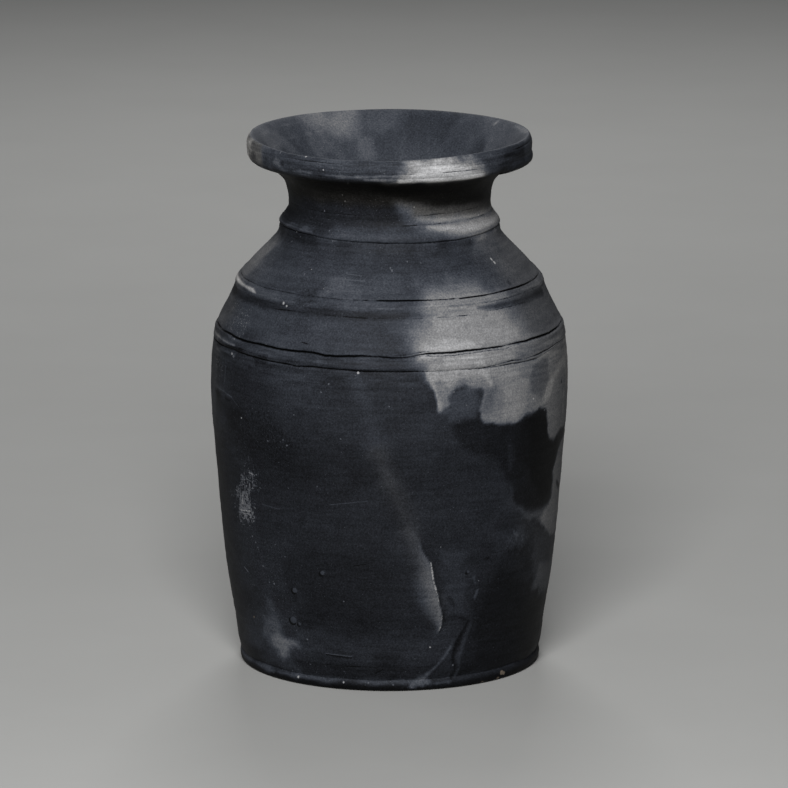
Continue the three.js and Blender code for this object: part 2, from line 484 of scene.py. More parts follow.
SHADES = [
    # Slow clouds of smoke on the back.
    Area([(108, 70), (125, 36), (160, 50), (172, 120), (150, 165), (118, 150)], 20, 0.24, 0.8, 2),
    Area([(-165, 235), (-160, 190), (-130, 160), (-112, 190), (-112, 240), (-130, 262)], 17, 0.36, 0.85, 2),
    Area([(-150, 60), (-120, 40), (-104, 90), (-125, 120)], 18, 0.085, 0.9, 2),
    Area([(140, 300), (165, 308), (188, 302), (185, 294), (145, 294)], 8, 0.30, 0.7, 1),

    # The belly's left and middle.
    Area([(-66, 208), (-44, 210), (-30, 150), (-36, 120), (-66, 128)], 14, 0.122, 0.8, 2),
    Area([(-74, 184), (-54, 182), (-50, 172), (-72, 170)], 6, 0.10, 0.7, 1.5),
    Area([(-58, 164), (-46, 166), (-34, 158), (-32, 142), (-52, 144)], 7, 0.105, 0.7, 2.5),
    Stroke([(-76, 188.5), (-68, 188), (-61, 185.8)], 0.8, 1.2, 0.23, 0.8, 0.7),
    Stroke([(-78, 184.5), (-62, 183)], 1.0, 1.4, 0.075, 0.7, 0.8),
    Area([(-62, 102), (-38, 102), (-34, 60), (-50, 46), (-66, 60)], 10, 0.16, 0.8, 2.5),
    # Painted reflection of the floor, low on the left of the belly.
    Area([(-72, 24), (-62, 40), (-48, 54), (-38, 44), (-28, 28), (-32, 18), (-72, 18)], 8, 0.175, 0.9, 2),
    Area([(-58, 9), (-60, 19), (-50, 22), (-40, 17), (-36, 9)], 4, 0.20, 0.6, 2),
    Area([(-54, 27), (-52, 40), (-47, 50), (-43, 44), (-39, 34), (-36, 27), (-43, 21), (-51, 23)], 5, 0.27,
         0.85, 2.2),
    Area([(-48, 25), (-46, 33), (-38, 33), (-35, 26), (-42, 22)], 3, 0.39, 0.8, 1.6),
    Area([(-66, 18), (-60, 28), (-54, 26), (-52, 16)], 4, 0.21, 0.6, 2),
    # Painted highlight along the belly's left edge, lit from the left.
    Area([(-95, 212), (-79, 214), (-75, 196), (-78, 160), (-95, 155)], 5, 0.24, 0.85, 1.5),
    Area([(-66, 150), (-55, 156), (-50, 148), (-56, 143)], 4, 0.15, 0.6, 1.5),
    # Down the middle of the belly: a paler streak of clay with a painted highlight on it.
    Stroke([(-9, 204), (-5, 178), (-3, 160), (-0.8, 148), (2.5, 130), (5.5, 115), (8, 103)], [6, 5, 4, 3,
                                                                                              2.5, 3, 4], 7,
           0.20, 0.8, 1.2),
    Stroke([(-1.6, 153), (0, 144)], 1, 4, 0.215, 0.6, 1),
    Area([(-30, 96), (-4, 96), (3, 84), (3, 62), (-12, 44), (-30, 62)], 10, 0.11, 0.7, 1.5),
    Area([(-28, 36), (10, 36), (14, 24), (-22, 24)], 6, 0.155, 0.6, 2),

    # The belly's right, from the soot down to the foot.
    Area([(34, 62), (41, 78), (50, 68), (62, 50), (84, 42), (84, 11), (29, 11), (32, 38)], 8, 0.085, 0.92,
         1.8),
    Area([(57, 100), (58, 66), (66, 52), (86, 46), (86, 100)], 7, 0.22, 0.8, 2.4),
    Area([(55, 109), (64, 111), (70, 112), (76, 104), (80, 96), (64, 100)], 3, 0.34, 0.85, 1.2),
    Area([(34, 106), (60, 108), (60, 94), (40, 88)], 6, 0.165, 0.7, 1.8),
    Area([(17, 96), (28, 95), (27, 52), (20, 49)], 4.5, 0.18, 0.85, 1.4),
    Area([(16, 48), (24, 46), (22, 34), (16, 30)], 4, 0.165, 0.8, 1.4),
    Stroke([(19.8, 51.4), (20, 47), (19.2, 42.6)], [0.3, 0.5, 0.3], 0.8, 0.06, 0.8, 0.2),
    Area([(42, 99), (50, 102), (54, 96), (51, 91), (44, 93)], 3, 0.22, 0.7, 1.6),
    Stroke([(46.5, 102), (48.5, 97)], 0.8, 1, 0.29, 0.7, 0.6),
    Stroke([(51, 97), (52, 92.5)], 0.5, 0.9, 0.27, 0.7, 0.4),
    Area([(61, 62), (66, 71), (86, 72), (86, 49), (70, 51), (63, 55)], 3.5, 0.31, 0.8, 1.4),
    Stroke([(30.3, 75), (31, 70)], 0.5, 0.8, 0.25, 0.8, 0.4),
    Stroke([(32.2, 66), (31, 61)], 0.6, 0.7, 0.27, 0.8, 0.4),
    Stroke([(21, 62.5), (23.4, 56.5)], 0.6, 1.0, 0.09, 0.7, 0.4),
    Stroke([(33.5, 86), (35.5, 86.5)], 0.4, 0.7, 0.06, 0.7, 0.3),
    Stroke([(52.5, 48.5), (54.5, 46)], 0.5, 0.8, 0.045, 0.7, 0.3),

    # Soot on the belly's right, blacker inside, with a pale rim along its lower left.
    Stroke([(41.5, 142), (44.5, 131), (47.5, 121.5), (50.5, 115), (55, 110), (62, 108)], [0.3, 0.8, 1.2, 1.6,
                                                                                          2.4, 3], 2.4, 0.26,
           0.8, 0.8),
    Area([(20.5, 182), (21.5, 172), (24.5, 164), (31, 157.5), (37, 149.5), (41, 140), (44.2, 131),
          (47.8, 121), (51.3, 115.4), (56, 112.8), (62, 112.4), (67, 114.5), (70.5, 120), (75, 126),
          (82, 150), (82, 166), (60, 192), (28, 188)], 2.8, SOOT, 0.97, 0.9),
    Area([(22, 182), (20, 175), (22, 165), (30, 160), (34, 170), (30, 182)], 4, 0.115, 0.6, 1.5),
    Area([(48, 176), (58, 180), (63, 160), (72, 155), (71, 140), (68, 122), (63, 116), (57, 127), (51, 142),
          (47, 155)], 4, 0.06, 0.9, 1.5),
    Area([(45, 172), (52, 172), (51, 150), (45, 148)], 4, 0.085, 0.6, 2.5),
    Stroke([(41.5, 160), (42.8, 145)], 1.8, 2.5, 0.145, 0.8, 1),
    Stroke([(48, 138), (55, 127), (60, 119)], 1.6, 2.6, 0.105, 0.7, 1),
    Area([(67.6, 110), (70.3, 116), (70.8, 124), (70, 132), (72, 142), (77.5, 152), (86, 153), (88, 86),
          (74, 88), (65, 98), (62, 105)], 1.8, 0.40, 0.95, 0.9),
    Area([(74.5, 125), (78, 122.5), (81.4, 118.6), (81, 116.4), (78.5, 118), (76, 121)], 0.8, 0.05, 0.9,
         0.2),

    # The pale fire cloud down the right of the front: lip, neck and collar. On the lip it carries a painted
    # highlight.
    Area([(50, 332), (49, 341), (54, 348), (70, 348), (70, 332)], 4, 0.125, 0.85, 0.8),
    # The lip's pale patch, with a painted highlight over it.
    Area([(0, 332.4), (3, 337), (6, 343), (10, 349.6), (34.5, 349.6), (36.5, 344), (39, 339), (43, 334),
          (44, 331.4)], 5.6, 0.57, 0.97, 1.2),
    Area([(10, 331.6), (12, 340), (16, 344), (19, 348.6), (28, 348.4), (32, 342), (36, 331.6)], 4.6, 0.66,
         0.85, 1.2),
    Stroke([(-14, 338.2), (-4, 338.4), (8, 338.6)], [0.2, 0.6, 1.2], 1.2, 0.4, 0.7, 0.4),
    Stroke([(-10, 335.4), (-2, 335.4), (6, 335.6)], [0.2, 0.7, 1.2], 1.1, 0.42, 0.7, 0.4),
    # A painted highlight on the lip's rounded lower corner, which faces down.
    Stroke([(4, 334.2), (24, 333.8), (41, 334.2)], 1.2, 1.5, 0.84, 0.8, 0.3),
    Stroke([(52, 334), (70, 334.4), (84, 335)], 1.2, 1.5, 0.08, 0.85, 0.4),
    Stroke([(9, 331.2), (28, 330.6), (50, 331)], [0.8, 0.9, 0.3], 1.0, 0.36, 0.7, 0.4),
    # Painted shadow of the rim on the neck; the pale clay below begins where it ends.
    Area([(28, 311), (20, 316), (10, 319), (-8, 325), (-8, 329.6), (92, 330), (92, 308), (50, 309)], 3.5,
         0.065, 0.9, 0.2),
    Area([(3, 316.4), (10, 314.6), (18, 313), (30, 310.6), (60, 308.4), (95, 306), (95, 291), (42, 291),
          (32, 295), (22, 299.5), (13, 303), (5, 310)], 5.5, 0.30, 0.95, 0.2),
    Stroke([(6, 314.5), (14, 311.5), (24, 309.4), (60, 308)], [2.5, 2, 1, 0.5], 3.6, 0.29, 0.7, 0.2),
    Area([(8, 304), (8, 300), (24, 292), (44, 292), (44, 304)], 4, 0.30, 0.8, 0.3),
    Stroke([(16, 304.6), (28, 303.2), (45, 302.4), (95, 301.4)], [0.8, 1.7, 1.6, 1.2], 2.6, 0.49, 0.88,
           0.2),
    Stroke([(22, 299.4), (30, 297.8), (39, 296.8), (50, 296.4), (95, 295.6)], [0.3, 1.3, 2.4, 3.1, 3], 3,
           0.59, 0.95, 0.2),
    Stroke([(16, 300.7), (50, 300.6), (80, 300.4)], 0.3, 0.8, 0.28, 0.6, 0.2),
    Area([(48, 283), (50, 291), (92, 291), (92, 279)], 6, 0.34, 0.85, 0.5),
    Stroke([(53, 288), (62, 288.4), (72, 288.6)], 0.8, 1.4, 0.46, 0.7, 0.6),
    Stroke([(46, 291.8), (60, 291.8), (76, 292)], 0.8, 1.3, 0.45, 0.8, 0.4),
    Area([(56, 260), (50, 286), (92, 288), (92, 260)], 10, 0.30, 0.9, 1.5),
    Area([(44, 256), (46, 267), (92, 268), (92, 256)], 7, 0.27, 0.85, 0.5),
    Area([(13, 254), (17, 258.6), (25, 261), (34, 261), (42, 258.6), (46, 254)], 7, 0.37, 0.97, 0.3),

    # The same cloud over the bead, the lower shoulder and the band.
    Area([(46, 220), (44, 258), (92, 258), (92, 220)], 10, 0.295, 0.92, 0.6),
    Area([(13, 216), (9, 224), (8, 230), (9, 238), (12, 247), (14.5, 262), (37, 262), (45, 250), (51, 240),
          (54, 216)], 12, 0.49, 0.97, 0.6),
    Area([(7.6, 226.4), (8.4, 232), (11, 234), (13, 226.4)], 2.5, 0.46, 0.7, 0.6),
    # Painted highlight along the shoulder's left edge.
    Area([(-95, 233), (-72, 232), (-70, 226.6), (-95, 226.6)], 3, 0.31, 0.7, 1),
    Area([(-66, 231), (-50, 231), (-50, 226), (-66, 226)], 2.5, 0.155, 0.6, 1),
    # Painted highlight along the band's left edge.
    Area([(-95, 223), (-70, 222), (-66, 219), (-95, 216)], 2.5, 0.33, 0.7, 1),
    Area([(14, 253.4), (14, 258), (50, 258), (50, 253.4)], 2, 0.45, 0.6, 0.3),
    # Painted shade under the bead, and a painted highlight along its crest.
    Stroke([(12, 250.2), (30, 249.8), (46, 250.2)], 1.2, 1.6, 0.36, 0.6, 0.3),
    Stroke([(34, 250.6), (46, 250.2), (60, 249.9), (77, 249.6)], [0.2, 1.5, 2.5, 2.6], 1.7, 0.155, 0.85,
           0.3),
    Stroke([(-60, 253.6), (0, 253.5), (50, 253.6)], 0.3, 0.6, 0.33, 0.6, 0.3),
    Area([(9.4, 222), (11.5, 230), (20, 232), (27, 231), (32, 226.4), (34, 221)], 3.4, 0.60, 0.8, 0.8),
    Stroke([(27.4, 241), (28.2, 236.5)], 0.5, 1.0, 0.36, 0.7, 0.3),
    Area([(12.6, 214), (11, 226), (46, 226), (45, 214)], 3, 0.47, 0.8, 0.5),
    Area([(18, 213), (19, 224), (31, 224), (34, 213)], 3, 0.55, 0.7, 1),
    Area([(16.5, 191), (19, 200), (28, 201), (31, 194), (29, 182), (20, 182)], 3, 0.235, 0.8, 1.2),
    Area([(46, 213), (46, 226), (92, 226), (92, 213)], 6, 0.36, 0.9, 0.5),

    # And over the belly, down to its tips.
    Area([(11.3, 217), (12, 211), (13.2, 204), (14.3, 197), (15.8, 190.2), (17.2, 193), (19, 199),
          (21.5, 203.5), (24, 206), (25.5, 206), (28, 203), (30, 201), (30.2, 196), (30, 189), (29.6, 184),
          (30, 180.6), (33, 177.3), (38, 175.3), (45, 176), (50, 177.4), (56, 179.5), (60, 178.6), (62, 168),
          (64, 159), (68, 155.5), (73, 158), (80, 161), (92, 158), (92, 217)], 1.5, 0.40, 0.97, 0.9),
    Stroke([(12.6, 214), (14.4, 203), (15.9, 193)], [1.6, 1.5, 0.9], 1.4, 0.52, 0.9, 0.4),
    Area([(13, 217), (14, 209), (19, 205), (24, 210), (33, 209), (37, 217)], 2.5, 0.51, 0.9, 1.2),
    Stroke([(31, 214), (33.5, 206), (34.8, 200)], [1.6, 1.6, 0.6], 1.4, 0.56, 0.7, 0.6),
    Stroke([(23, 212), (22.6, 206)], 0.8, 1.2, 0.40, 0.6, 0.5),
    Area([(30.8, 202), (36.5, 202), (36, 192), (34.5, 184), (30.5, 184)], 2.4, 0.30, 0.8, 1.2),
    Area([(39, 178.5), (38, 199), (34, 213), (46, 213), (50, 200), (50, 184), (45, 178.5)], 3, 0.46, 0.9,
         1.5),
    Area([(51, 213), (51, 192), (57, 187), (61, 199), (62, 213)], 2.4, 0.295, 0.85, 1.2),
    Area([(70, 198), (67, 182), (70, 170), (80, 170), (80, 198)], 5, 0.36, 0.7, 1.5),
    Stroke([(76.5, 182), (76, 170)], 1, 2, 0.47, 0.7, 0.8),
    Stroke([(58, 184), (62, 191), (67, 199), (73, 203), (88, 204)], [1.2, 2, 2.2, 2.4, 3], 2, 0.50, 0.85,
           1),
    Area([(80, 216), (80, 186), (92, 186), (92, 216)], 4, 0.45, 0.8, 1),

    # The left of the shoulder, collar and lip, and smudges on them, with painted highlights along the left
    # edge and its arrises.
    Area([(-78, 284), (-78, 291.4), (-42, 291), (-38, 284)], 2.5, 0.11, 0.8, 0.8),
    Area([(-24, 285), (-20, 290.5), (44, 289.8), (44, 284)], 3, 0.19, 0.7, 0.8),
    Area([(-66, 272), (-64, 284), (-34, 284), (-30, 273)], 6, 0.18, 0.7, 1.2),
    # A painted sheen in the middle of the cone.
    Area([(-16, 258.6), (-14, 270), (4, 270), (8, 258.6)], 6, 0.25, 0.8, 1.5),
    Area([(-36, 291), (-30, 299), (12, 299.5), (20, 291)], 4.5, 0.235, 0.95, 0.3),
    # Painted highlight along the cone's left edge.
    Area([(-95, 285), (-72, 280), (-72, 268), (-74, 257), (-95, 257)], 13, 0.36, 0.9, 2),
    Area([(-29, 258.5), (-25, 266), (-18, 269), (-12, 268.5), (-10.5, 259)], 2.5, 0.28, 0.8, 1.4),
    Area([(-37, 254), (-36, 259), (-29, 263), (-27, 256)], 3, 0.19, 0.6, 2.5),
    spot(54.8, 260.8, 1.2, 1.6, 0.14, 0.7, 0.5),
    Area([(-76, 245), (-56, 245), (-58, 227), (-78, 226.5)], 5, 0.235, 0.7, 2),
    # Painted highlight along the shoulder's left edge, then painted shade under the bead.
    Area([(-95, 246), (-82, 246), (-80, 226), (-95, 226)], 8, 0.28, 0.7, 1),
    Area([(-90, 246.8), (-90, 250), (-52, 250), (-44, 249), (-52, 246.8)], 1.6, 0.115, 0.8, 0.5),
    Stroke([(58, 256), (70, 255.4), (90, 255.4)], [0.3, 1, 1], 1.6, 0.36, 0.8, 0.4),
    # Painted highlight along the bead's crest on the left.
    Stroke([(-95, 255.4), (-75, 255.2), (-62, 254.6), (-59.5, 253.8)], [1.2, 0.9, 0.7, 0.3], 0.7, 0.62, 0.97,
           0.15),
    # Painted highlight along the band on the left.
    Stroke([(-90, 219.8), (-76, 220.2), (-61, 219.4)], [1.4, 0.9, 0.5], 1, 0.42, 0.85, 0.4),
    Stroke([(-86, 213), (-76, 212.6), (-60, 213.6)], [0.8, 0.7, 0.5], 1, 0.30, 0.8, 0.4),
    Stroke([(-74, 217.4), (-62, 217.2), (-50, 218.4)], [0.4, 1.0, 0.3], 1.4, 0.11, 0.75, 0.9),
    # Painted highlights along the collar's edge on the left.
    Stroke([(-95, 293.6), (-74, 293.4), (-62, 294), (-43, 293.2)], [0.8, 0.6, 0.5, 0.4], 0.7, 0.27, 0.9,
           0.4),
    Stroke([(-80, 295.6), (-62, 295.8), (-46, 295.2)], 0.3, 0.6, 0.235, 0.8, 0.3),
    # Painted highlight along the lip's lower edge.
    Stroke([(-50, 336.4), (-42, 337.4), (-36, 338.4), (-30, 337.2), (-8, 337.2)], [0.4, 0.5, 0.9, 0.5, 0.3],
           0.9, 0.32, 0.8, 0.6),
    Area([(-63, 336.5), (-62, 349), (-54, 349), (-54, 336.5)], 3, 0.155, 0.6, 1.5),
    # Painted highlights along the lip's left end.
    Area([(-88, 332), (-88, 352), (-62, 352), (-58, 343), (-62, 332)], 10, 0.36, 0.85, 2.6),
    Area([(-97, 331), (-97, 352), (-79, 352), (-75, 343), (-77, 332)], 5, 0.62, 0.9, 2.2),
    Area([(-76, 339), (-72, 342), (-69, 339), (-73, 337)], 2, 0.2, 0.5, 1.8),
    Area([(-52.4, 340), (-53, 345), (-51.4, 346), (-49.8, 342), (-50.6, 339)], 1.2, 0.36, 0.6, 1.6),
    Stroke([(-54, 337), (-50, 335.4)], 1.2, 1.6, 0.1, 0.6, 0.8),
    spot(-48, 341.5, 0.9, 1.4, 0.12, 0.7, 0.6),
    # Painted shade under the lip on the right.
    Area([(66, 318), (64, 331), (92, 331), (92, 316)], 4, 0.04, 0.9, 0.6),

    # The foot: a painted highlight along its round edge, painted shade just above it, and worn patches; then
    # the folds under the crease.
    Stroke([(-90, 6.2), (-74, 6), (-60, 5.6), (-51, 4.8), (-40, 5.8), (-20, 6.8), (12, 6.4)], 1.1, 1.6, 0.25,
           0.85, 0.5),
    Stroke([(27, 6.4), (36, 7), (56, 7.2)], 0.5, 1.6, 0.165, 0.7, 0.4),
    Area([(-30, 4), (-30, 8), (12, 8), (12, 4)], 2, 0.21, 0.5, 0.8),
    # Painted shade in the band just above the foot's edge.
    Area([(-34, 9), (-34, 14.5), (12, 14), (12, 9)], 2.4, 0.115, 0.7, 1),
    Area([(26, 9), (26, 14.5), (84, 14), (84, 9)], 2.4, 0.085, 0.7, 1),
    Stroke([(23, 29), (20.6, 22), (17.6, 16), (14.2, 10.5), (13.2, 7.5), (14.5, 4.8)], [0.2, 0.5, 0.7, 0.9,
                                                                                        0.8, 0.5], 1.4, 0.29,
           0.85, 0.2),
    Stroke([(30.6, 44), (29.6, 37), (27.9, 28.5), (26.5, 20), (27, 14), (25.8, 7.5)], [0.2, 0.4, 0.6, 0.4,
                                                                                       0.2, 0.4], 1.2, 0.22,
           0.8, 0.2),
    Area([(21, 21), (24, 20), (24.5, 10), (20, 5), (16, 6.5), (17, 12)], 1.5, 0.13, 0.7, 0.5),
    Stroke([(29.5, 45.5), (27.6, 38), (25.6, 30), (24.1, 22), (24.4, 17.5), (25.4, 13), (24.3, 7)], [0.7,
                                                                                                     1.2,
                                                                                                     1.7,
                                                                                                     1.0,
                                                                                                     0.7,
                                                                                                     0.5,
                                                                                                     0.4],
           1.0, 0.07, 0.85, 0.2),
    Stroke([(15, 5.4), (17.5, 3.4), (22, 3.4), (24.3, 7)], 0.3, 0.7, 0.06, 0.7, 0.2),
    Stroke([(20.5, 49.8), (24, 49), (28.6, 46.4)], [0.3, 0.4, 0.7], 0.8, 0.075, 0.8, 0.3),
    Area([(8.4, 3), (11, 7.6), (13.4, 9), (18, 3.6)], 2, 0.31, 0.75, 1.4),
    Stroke([(17, 4.4), (23, 4.6)], 0.7, 1.2, 0.27, 0.75, 0.6),
    Stroke([(19, 6.4), (23, 7.4)], 0.8, 1.2, 0.2, 0.7, 0.5),
]

# The funnel of the mouth. Its far side, seen over the near lip, is at azimuth 180.
FUNNEL_SHADES = [
    Area([(96, 350), (100, 337), (118, 330), (128, 335), (132, 350)], 7, 0.30, 0.8, 2),
    Area([(147, 350), (151, 335), (170, 331), (176, 341), (171, 350)], 5, 0.19, 0.9, 2),
    Area([(174, 339), (176, 329), (188, 327), (190, 337)], 3, 0.21, 0.7, 1.5),
    Area([(175, 341), (179, 348), (192, 348), (192, 338), (184, 337)], 3, 0.28, 0.8, 1.2),
    Area([(192, 351), (195, 339), (200, 334), (209, 334), (219, 339), (227, 351)], 7, 0.36, 0.9, 1.6),
    Area([(197, 350), (199, 342), (205, 337), (211, 341), (215, 350)], 6, 0.42, 0.8, 1.6),
    Area([(188, 321), (189, 333), (199, 336), (200, 322)], 4, 0.31, 0.8, 1.2),
    Area([(198, 332), (199, 322), (209, 323), (208, 331)], 2, 0.24, 0.7, 1),
    Area([(209, 335), (210, 325), (224, 326), (226, 335)], 3, 0.30, 0.8, 1.2),
    Area([(226, 337), (227, 348), (238, 348), (240, 337)], 3, 0.255, 0.8, 1.2),
    Area([(240, 350), (240, 334), (264, 334), (266, 350)], 4, 0.33, 0.7, 1.2),
    spot(126, 347.5, 1.4, 1.2, 0.5, 0.9, 0.6),
    Stroke([(92, 349.8), (100, 349), (112, 348.5)], [1.2, 0.9, 0.5], 0.9, 0.42, 0.8, 0.3),
    Stroke([(214, 339.4), (232, 339.2), (258, 337.6)], 0.2, 0.7, 0.40, 0.6, 0.3),
    Stroke([(222, 346.2), (240, 346.6), (258, 345.6)], 0.2, 0.7, 0.38, 0.6, 0.3),
]

# The crease down the front: a bright flank, this wide in mm, that ends at a sharp edge on its right.
CREASE = [
    (8, 108), (10.4, 100), (12.8, 93), (14.2, 87), (15.0, 80), (15.9, 71), (17, 63), (18.2, 56), (19, 51),
    (18.8, 45), (18.2, 39), (17.6, 30),
]
CREASE_FLANK = [
    (37, 0.5), (39, 2), (44, 6.5), (50, 13), (60, 20.5), (70, 19), (80, 16.5), (90, 15), (100, 13),
    (112, 10),
]

# White specks of grog, each with its radius: bright ones and faint ones.
SPECKS = [
    (-42.5, 251.8, 0.9), (-40.8, 250.4, 0.7), (54.2, 275.4, 0.9), (54.6, 273.4, 1.0), (-10, 214.2, 0.7),
    (-55, 174.5, 0.5), (52.6, 188.2, 0.6), (-37, 4.6, 0.8), (-17.5, 5, 0.6), (-36, 348, 0.9),
    (-27, 340.5, 0.5), (15, 29.4, 0.5), (-57.6, 291.8, 0.6), (-62.2, 214.2, 0.8),
]
FAINT_SPECKS = [
    (-39, 269.5, 0.5), (1.2, 274.6, 0.7), (0.4, 276.2, 0.6), (8.5, 279.5, 0.5), (15, 278.4, 0.4),
    (-19.5, 206.2, 0.5), (-42.5, 163.5, 0.5), (-36, 166, 0.4), (-34.6, 162.6, 0.6), (-37, 164.4, 0.3),
    (-22, 200.5, 0.4), (-31.6, 183.6, 0.5), (-15.5, 170.8, 0.4), (41, 220.5, 0.6), (53.2, 185.4, 0.8),
    (58.6, 186, 0.6), (59, 178.4, 0.6), (68.5, 179, 0.7), (-16, 61, 0.5), (-31.5, 32, 0.6), (-8, 5.6, 0.5),
    (1.4, 4.4, 0.5), (8, 3.6, 0.4), (-50, 347.4, 0.7), (-33.6, 296, 0.5), (-39.4, 307.8, 0.8),
    (-26, 320.4, 0.6), (-25, 316, 0.6), (-30.6, 290, 0.5), (-29.4, 290.2, 0.4), (-53, 289.4, 0.4),
    (47.4, 288.8, 0.5), (34, 263.4, 0.5), (-61, 213, 1.0), (-24, 137.4, 0.4), (-35, 134, 0.3),
    (0, 193, 0.4), (-45, 226, 0.4), (-53.6, 95.6, 0.6), (-52, 92, 0.5), (-44, 66.8, 0.7), (-46.4, 67, 0.5),
    (-51, 89, 0.5), (-42, 94, 0.4), (-38, 87, 0.4), (-49, 77, 0.5), (24.4, 15.6, 0.7), (-31, 15, 0.4),
    (-40, 8, 0.4), (-2, 340, 0.4), (-60, 285, 0.5),
]

# Fine scratches, each from one (azimuth, height) to another with its half width: pale and dark ones.
SCRATCHES = [
    ((-20, 126), (-7, 130), 0.12), ((-24, 23.9), (-14, 23.3), 0.22), ((-17, 333.2), (-20, 329.4), 0.2),
    ((-72, 187.6), (-67, 187.8), 0.12), ((-66, 187.6), (-61, 186), 0.2),
    ((-61, 185.6), (-56.6, 181.4), 0.12), ((-20.5, 269), (-10.5, 268.6), 0.3),
    ((-18, 266), (-10.8, 266.4), 0.22), ((-19, 272.2), (-12, 271.4), 0.22),
    ((-22, 262.4), (-13, 262.8), 0.2), ((-47, 119.6), (-39, 118.6), 0.1), ((-61, 72), (-58.4, 69.6), 0.4),
    ((-66, 205), (-66.6, 193), 0.2), ((-69.4, 203), (-69, 196), 0.2),
]
DARK_SCRATCHES = [
    ((-24, 23), (-14, 22), 0.35), ((-5.4, 12), (-2.4, 15), 0.35), ((-4.4, 15), (-3.6, 13.4), 0.25),
    ((-12, 86), (-8, 87), 0.25), ((-30.4, 230.4), (-28, 229.8), 0.35), ((-7, 333), (-7.6, 330.6), 0.25),
]

# White flakes in the same form, most of them on the crease's edge.
CHALKED = [
    ((14.1, 87.8), (14.5, 82.4), 0.35), ((14.5, 82.4), (15, 76.8), 0.5), ((15.2, 75), (15.4, 73.6), 0.3),
    ((15.7, 71.8), (16.1, 69.2), 0.6), ((16.4, 67.6), (16.6, 66), 0.25), ((17, 63), (17.3, 61), 0.25),
    ((18.8, 51), (18.8, 48.4), 0.25), ((18.4, 43.2), (18.2, 41), 0.3), ((-60, 111), (-53.4, 112.6), 0.28),
    ((-59, 109.4), (-55, 110.4), 0.2), ((-58, 115), (-57.6, 122), 0.2), ((-60.6, 71.6), (-58.8, 70), 0.3),
    ((-53, 139), (-50.4, 138.2), 0.15),
]

# Chips at the foot that show the warmer clay, each with its radius.
CHIPS = [(47.8, 4.4, 1.5), (49, 3.6, 1.2), (46, 0.6, 1.3), (38, 0.4, 1.0), (-59, 38.5, 0.6)]

# Blisters: azimuth, height, radius and how far they stand out.
BLISTERS = [
    (-23.6, 79, 1.7, 0.7), (-35, 64.6, 2.1, 0.6), (-37, 43.6, 2.9, 0.8), (-34.4, 41.6, 1.3, 0.5),
    (27.6, 79, 1.1, 0.5), (73.4, 192, 1.0, 0.4), (140, 90, 2, 0.7), (-130, 150, 1.8, 0.6),
    (110, 40, 2, 0.6),
]

# Folds at the foot of the crease, and how far each stands out.
FOLDS = [
    (Stroke([(24, 31), (21, 22), (18, 16), (14.2, 10.5), (13.2, 7.5)], 0.4, 1.6, fray=0.2), 0.5),
    (Stroke([(29.5, 45.5), (27.6, 38), (25.6, 30), (24.1, 22), (24.4, 17.5), (25.4, 13), (24.3, 7)], 0.5,
            1.6, fray=0.2), -0.6),
    (Stroke([(30.6, 44), (29.3, 37), (27.4, 28.5), (26.2, 20), (26.7, 14)], 0.4, 1.4, fray=0.2), 0.4),
]

# The lip's lower corner is squarer on the right.
LIP_CORNER = Area([(54, 332.6), (62, 332.4), (130, 332.4), (130, 337), (60, 337)], 2.2, None, 1.9, 0)

# Worn places, hatched pale.
SCUFFS = [
    Area([(-64, 103), (-62.6, 116), (-61, 130), (-56, 136), (-49.6, 135), (-49.6, 128), (-51.8, 118),
          (-52.2, 111), (-57, 107), (-60, 100)], 2.2, None, 0.8, 2.2),
    Area([(-62.4, 107), (-60.6, 124), (-54, 127), (-53, 121), (-53.6, 109)], 2, None, 1.1, 1.5),
    Area([(-66, 100), (-66, 122), (-58, 124), (-56, 142), (-47, 142), (-49, 114), (-55, 100)], 3, None, 0.4,
         2),
    Area([(-69, 102.6), (-64, 104), (-63, 100), (-67, 100)], 1.5, None, 0.7, 1),
    Area([(-58, 137), (-54, 146), (-49, 152), (-48, 147), (-51, 136)], 3, None, 0.35, 2),
    Area([(-75, 206), (-66, 208), (-64, 193), (-73, 192)], 3, None, 0.3, 2),
    Area([(-73, 246), (-57, 246), (-57, 229), (-71, 227.5)], 6, None, 0.4, 3),
]

# Where the clay is pitted with small dark marks.
PITTED = [
    Area([(-70, 146), (-68, 180), (-44, 184), (-28, 172), (-28, 146)], 9, None, 0.24, 3),
    Area([(-37, 253), (-35, 263), (-29, 265), (-27, 253)], 4, None, 0.24, 1.5),
    Area([(32, 84), (44, 98), (54, 98), (52, 84)], 4, None, 0.2, 2),
    Area([(-78, 214), (-62, 219), (-44, 218), (-44, 214)], 1.6, None, 0.35, 1),
]

# Where fine pale flecks are dense.
FLECKED = [
    Area([(-70, 30), (-68, 100), (-42, 104), (-36, 70), (-34, 22)], 10, None, 0.85, 2),
    Area([(-62, 0), (-62, 22), (12, 16), (12, 0)], 4, None, 0.5, 1),
    Area([(-74, 226), (-74, 247), (-58, 247), (-57, 226)], 4, None, 0.8, 2),
    Area([(-62, 140), (-64, 200), (-40, 190), (-32, 140)], 8, None, 0.75, 2),
    Area([(-95, 294), (-95, 326), (10, 326), (10, 294)], 6, None, 0.45, 1),
    Area([(-95, 334), (-95, 352), (0, 352), (0, 334)], 3, None, 0.4, 1),
    Area([(-40, 252), (-40, 263), (-24, 263), (-22, 252)], 3, None, 0.6, 1.5),
    Area([(-80, 284), (-80, 292), (30, 292), (30, 284)], 3, None, 0.5, 1),
]

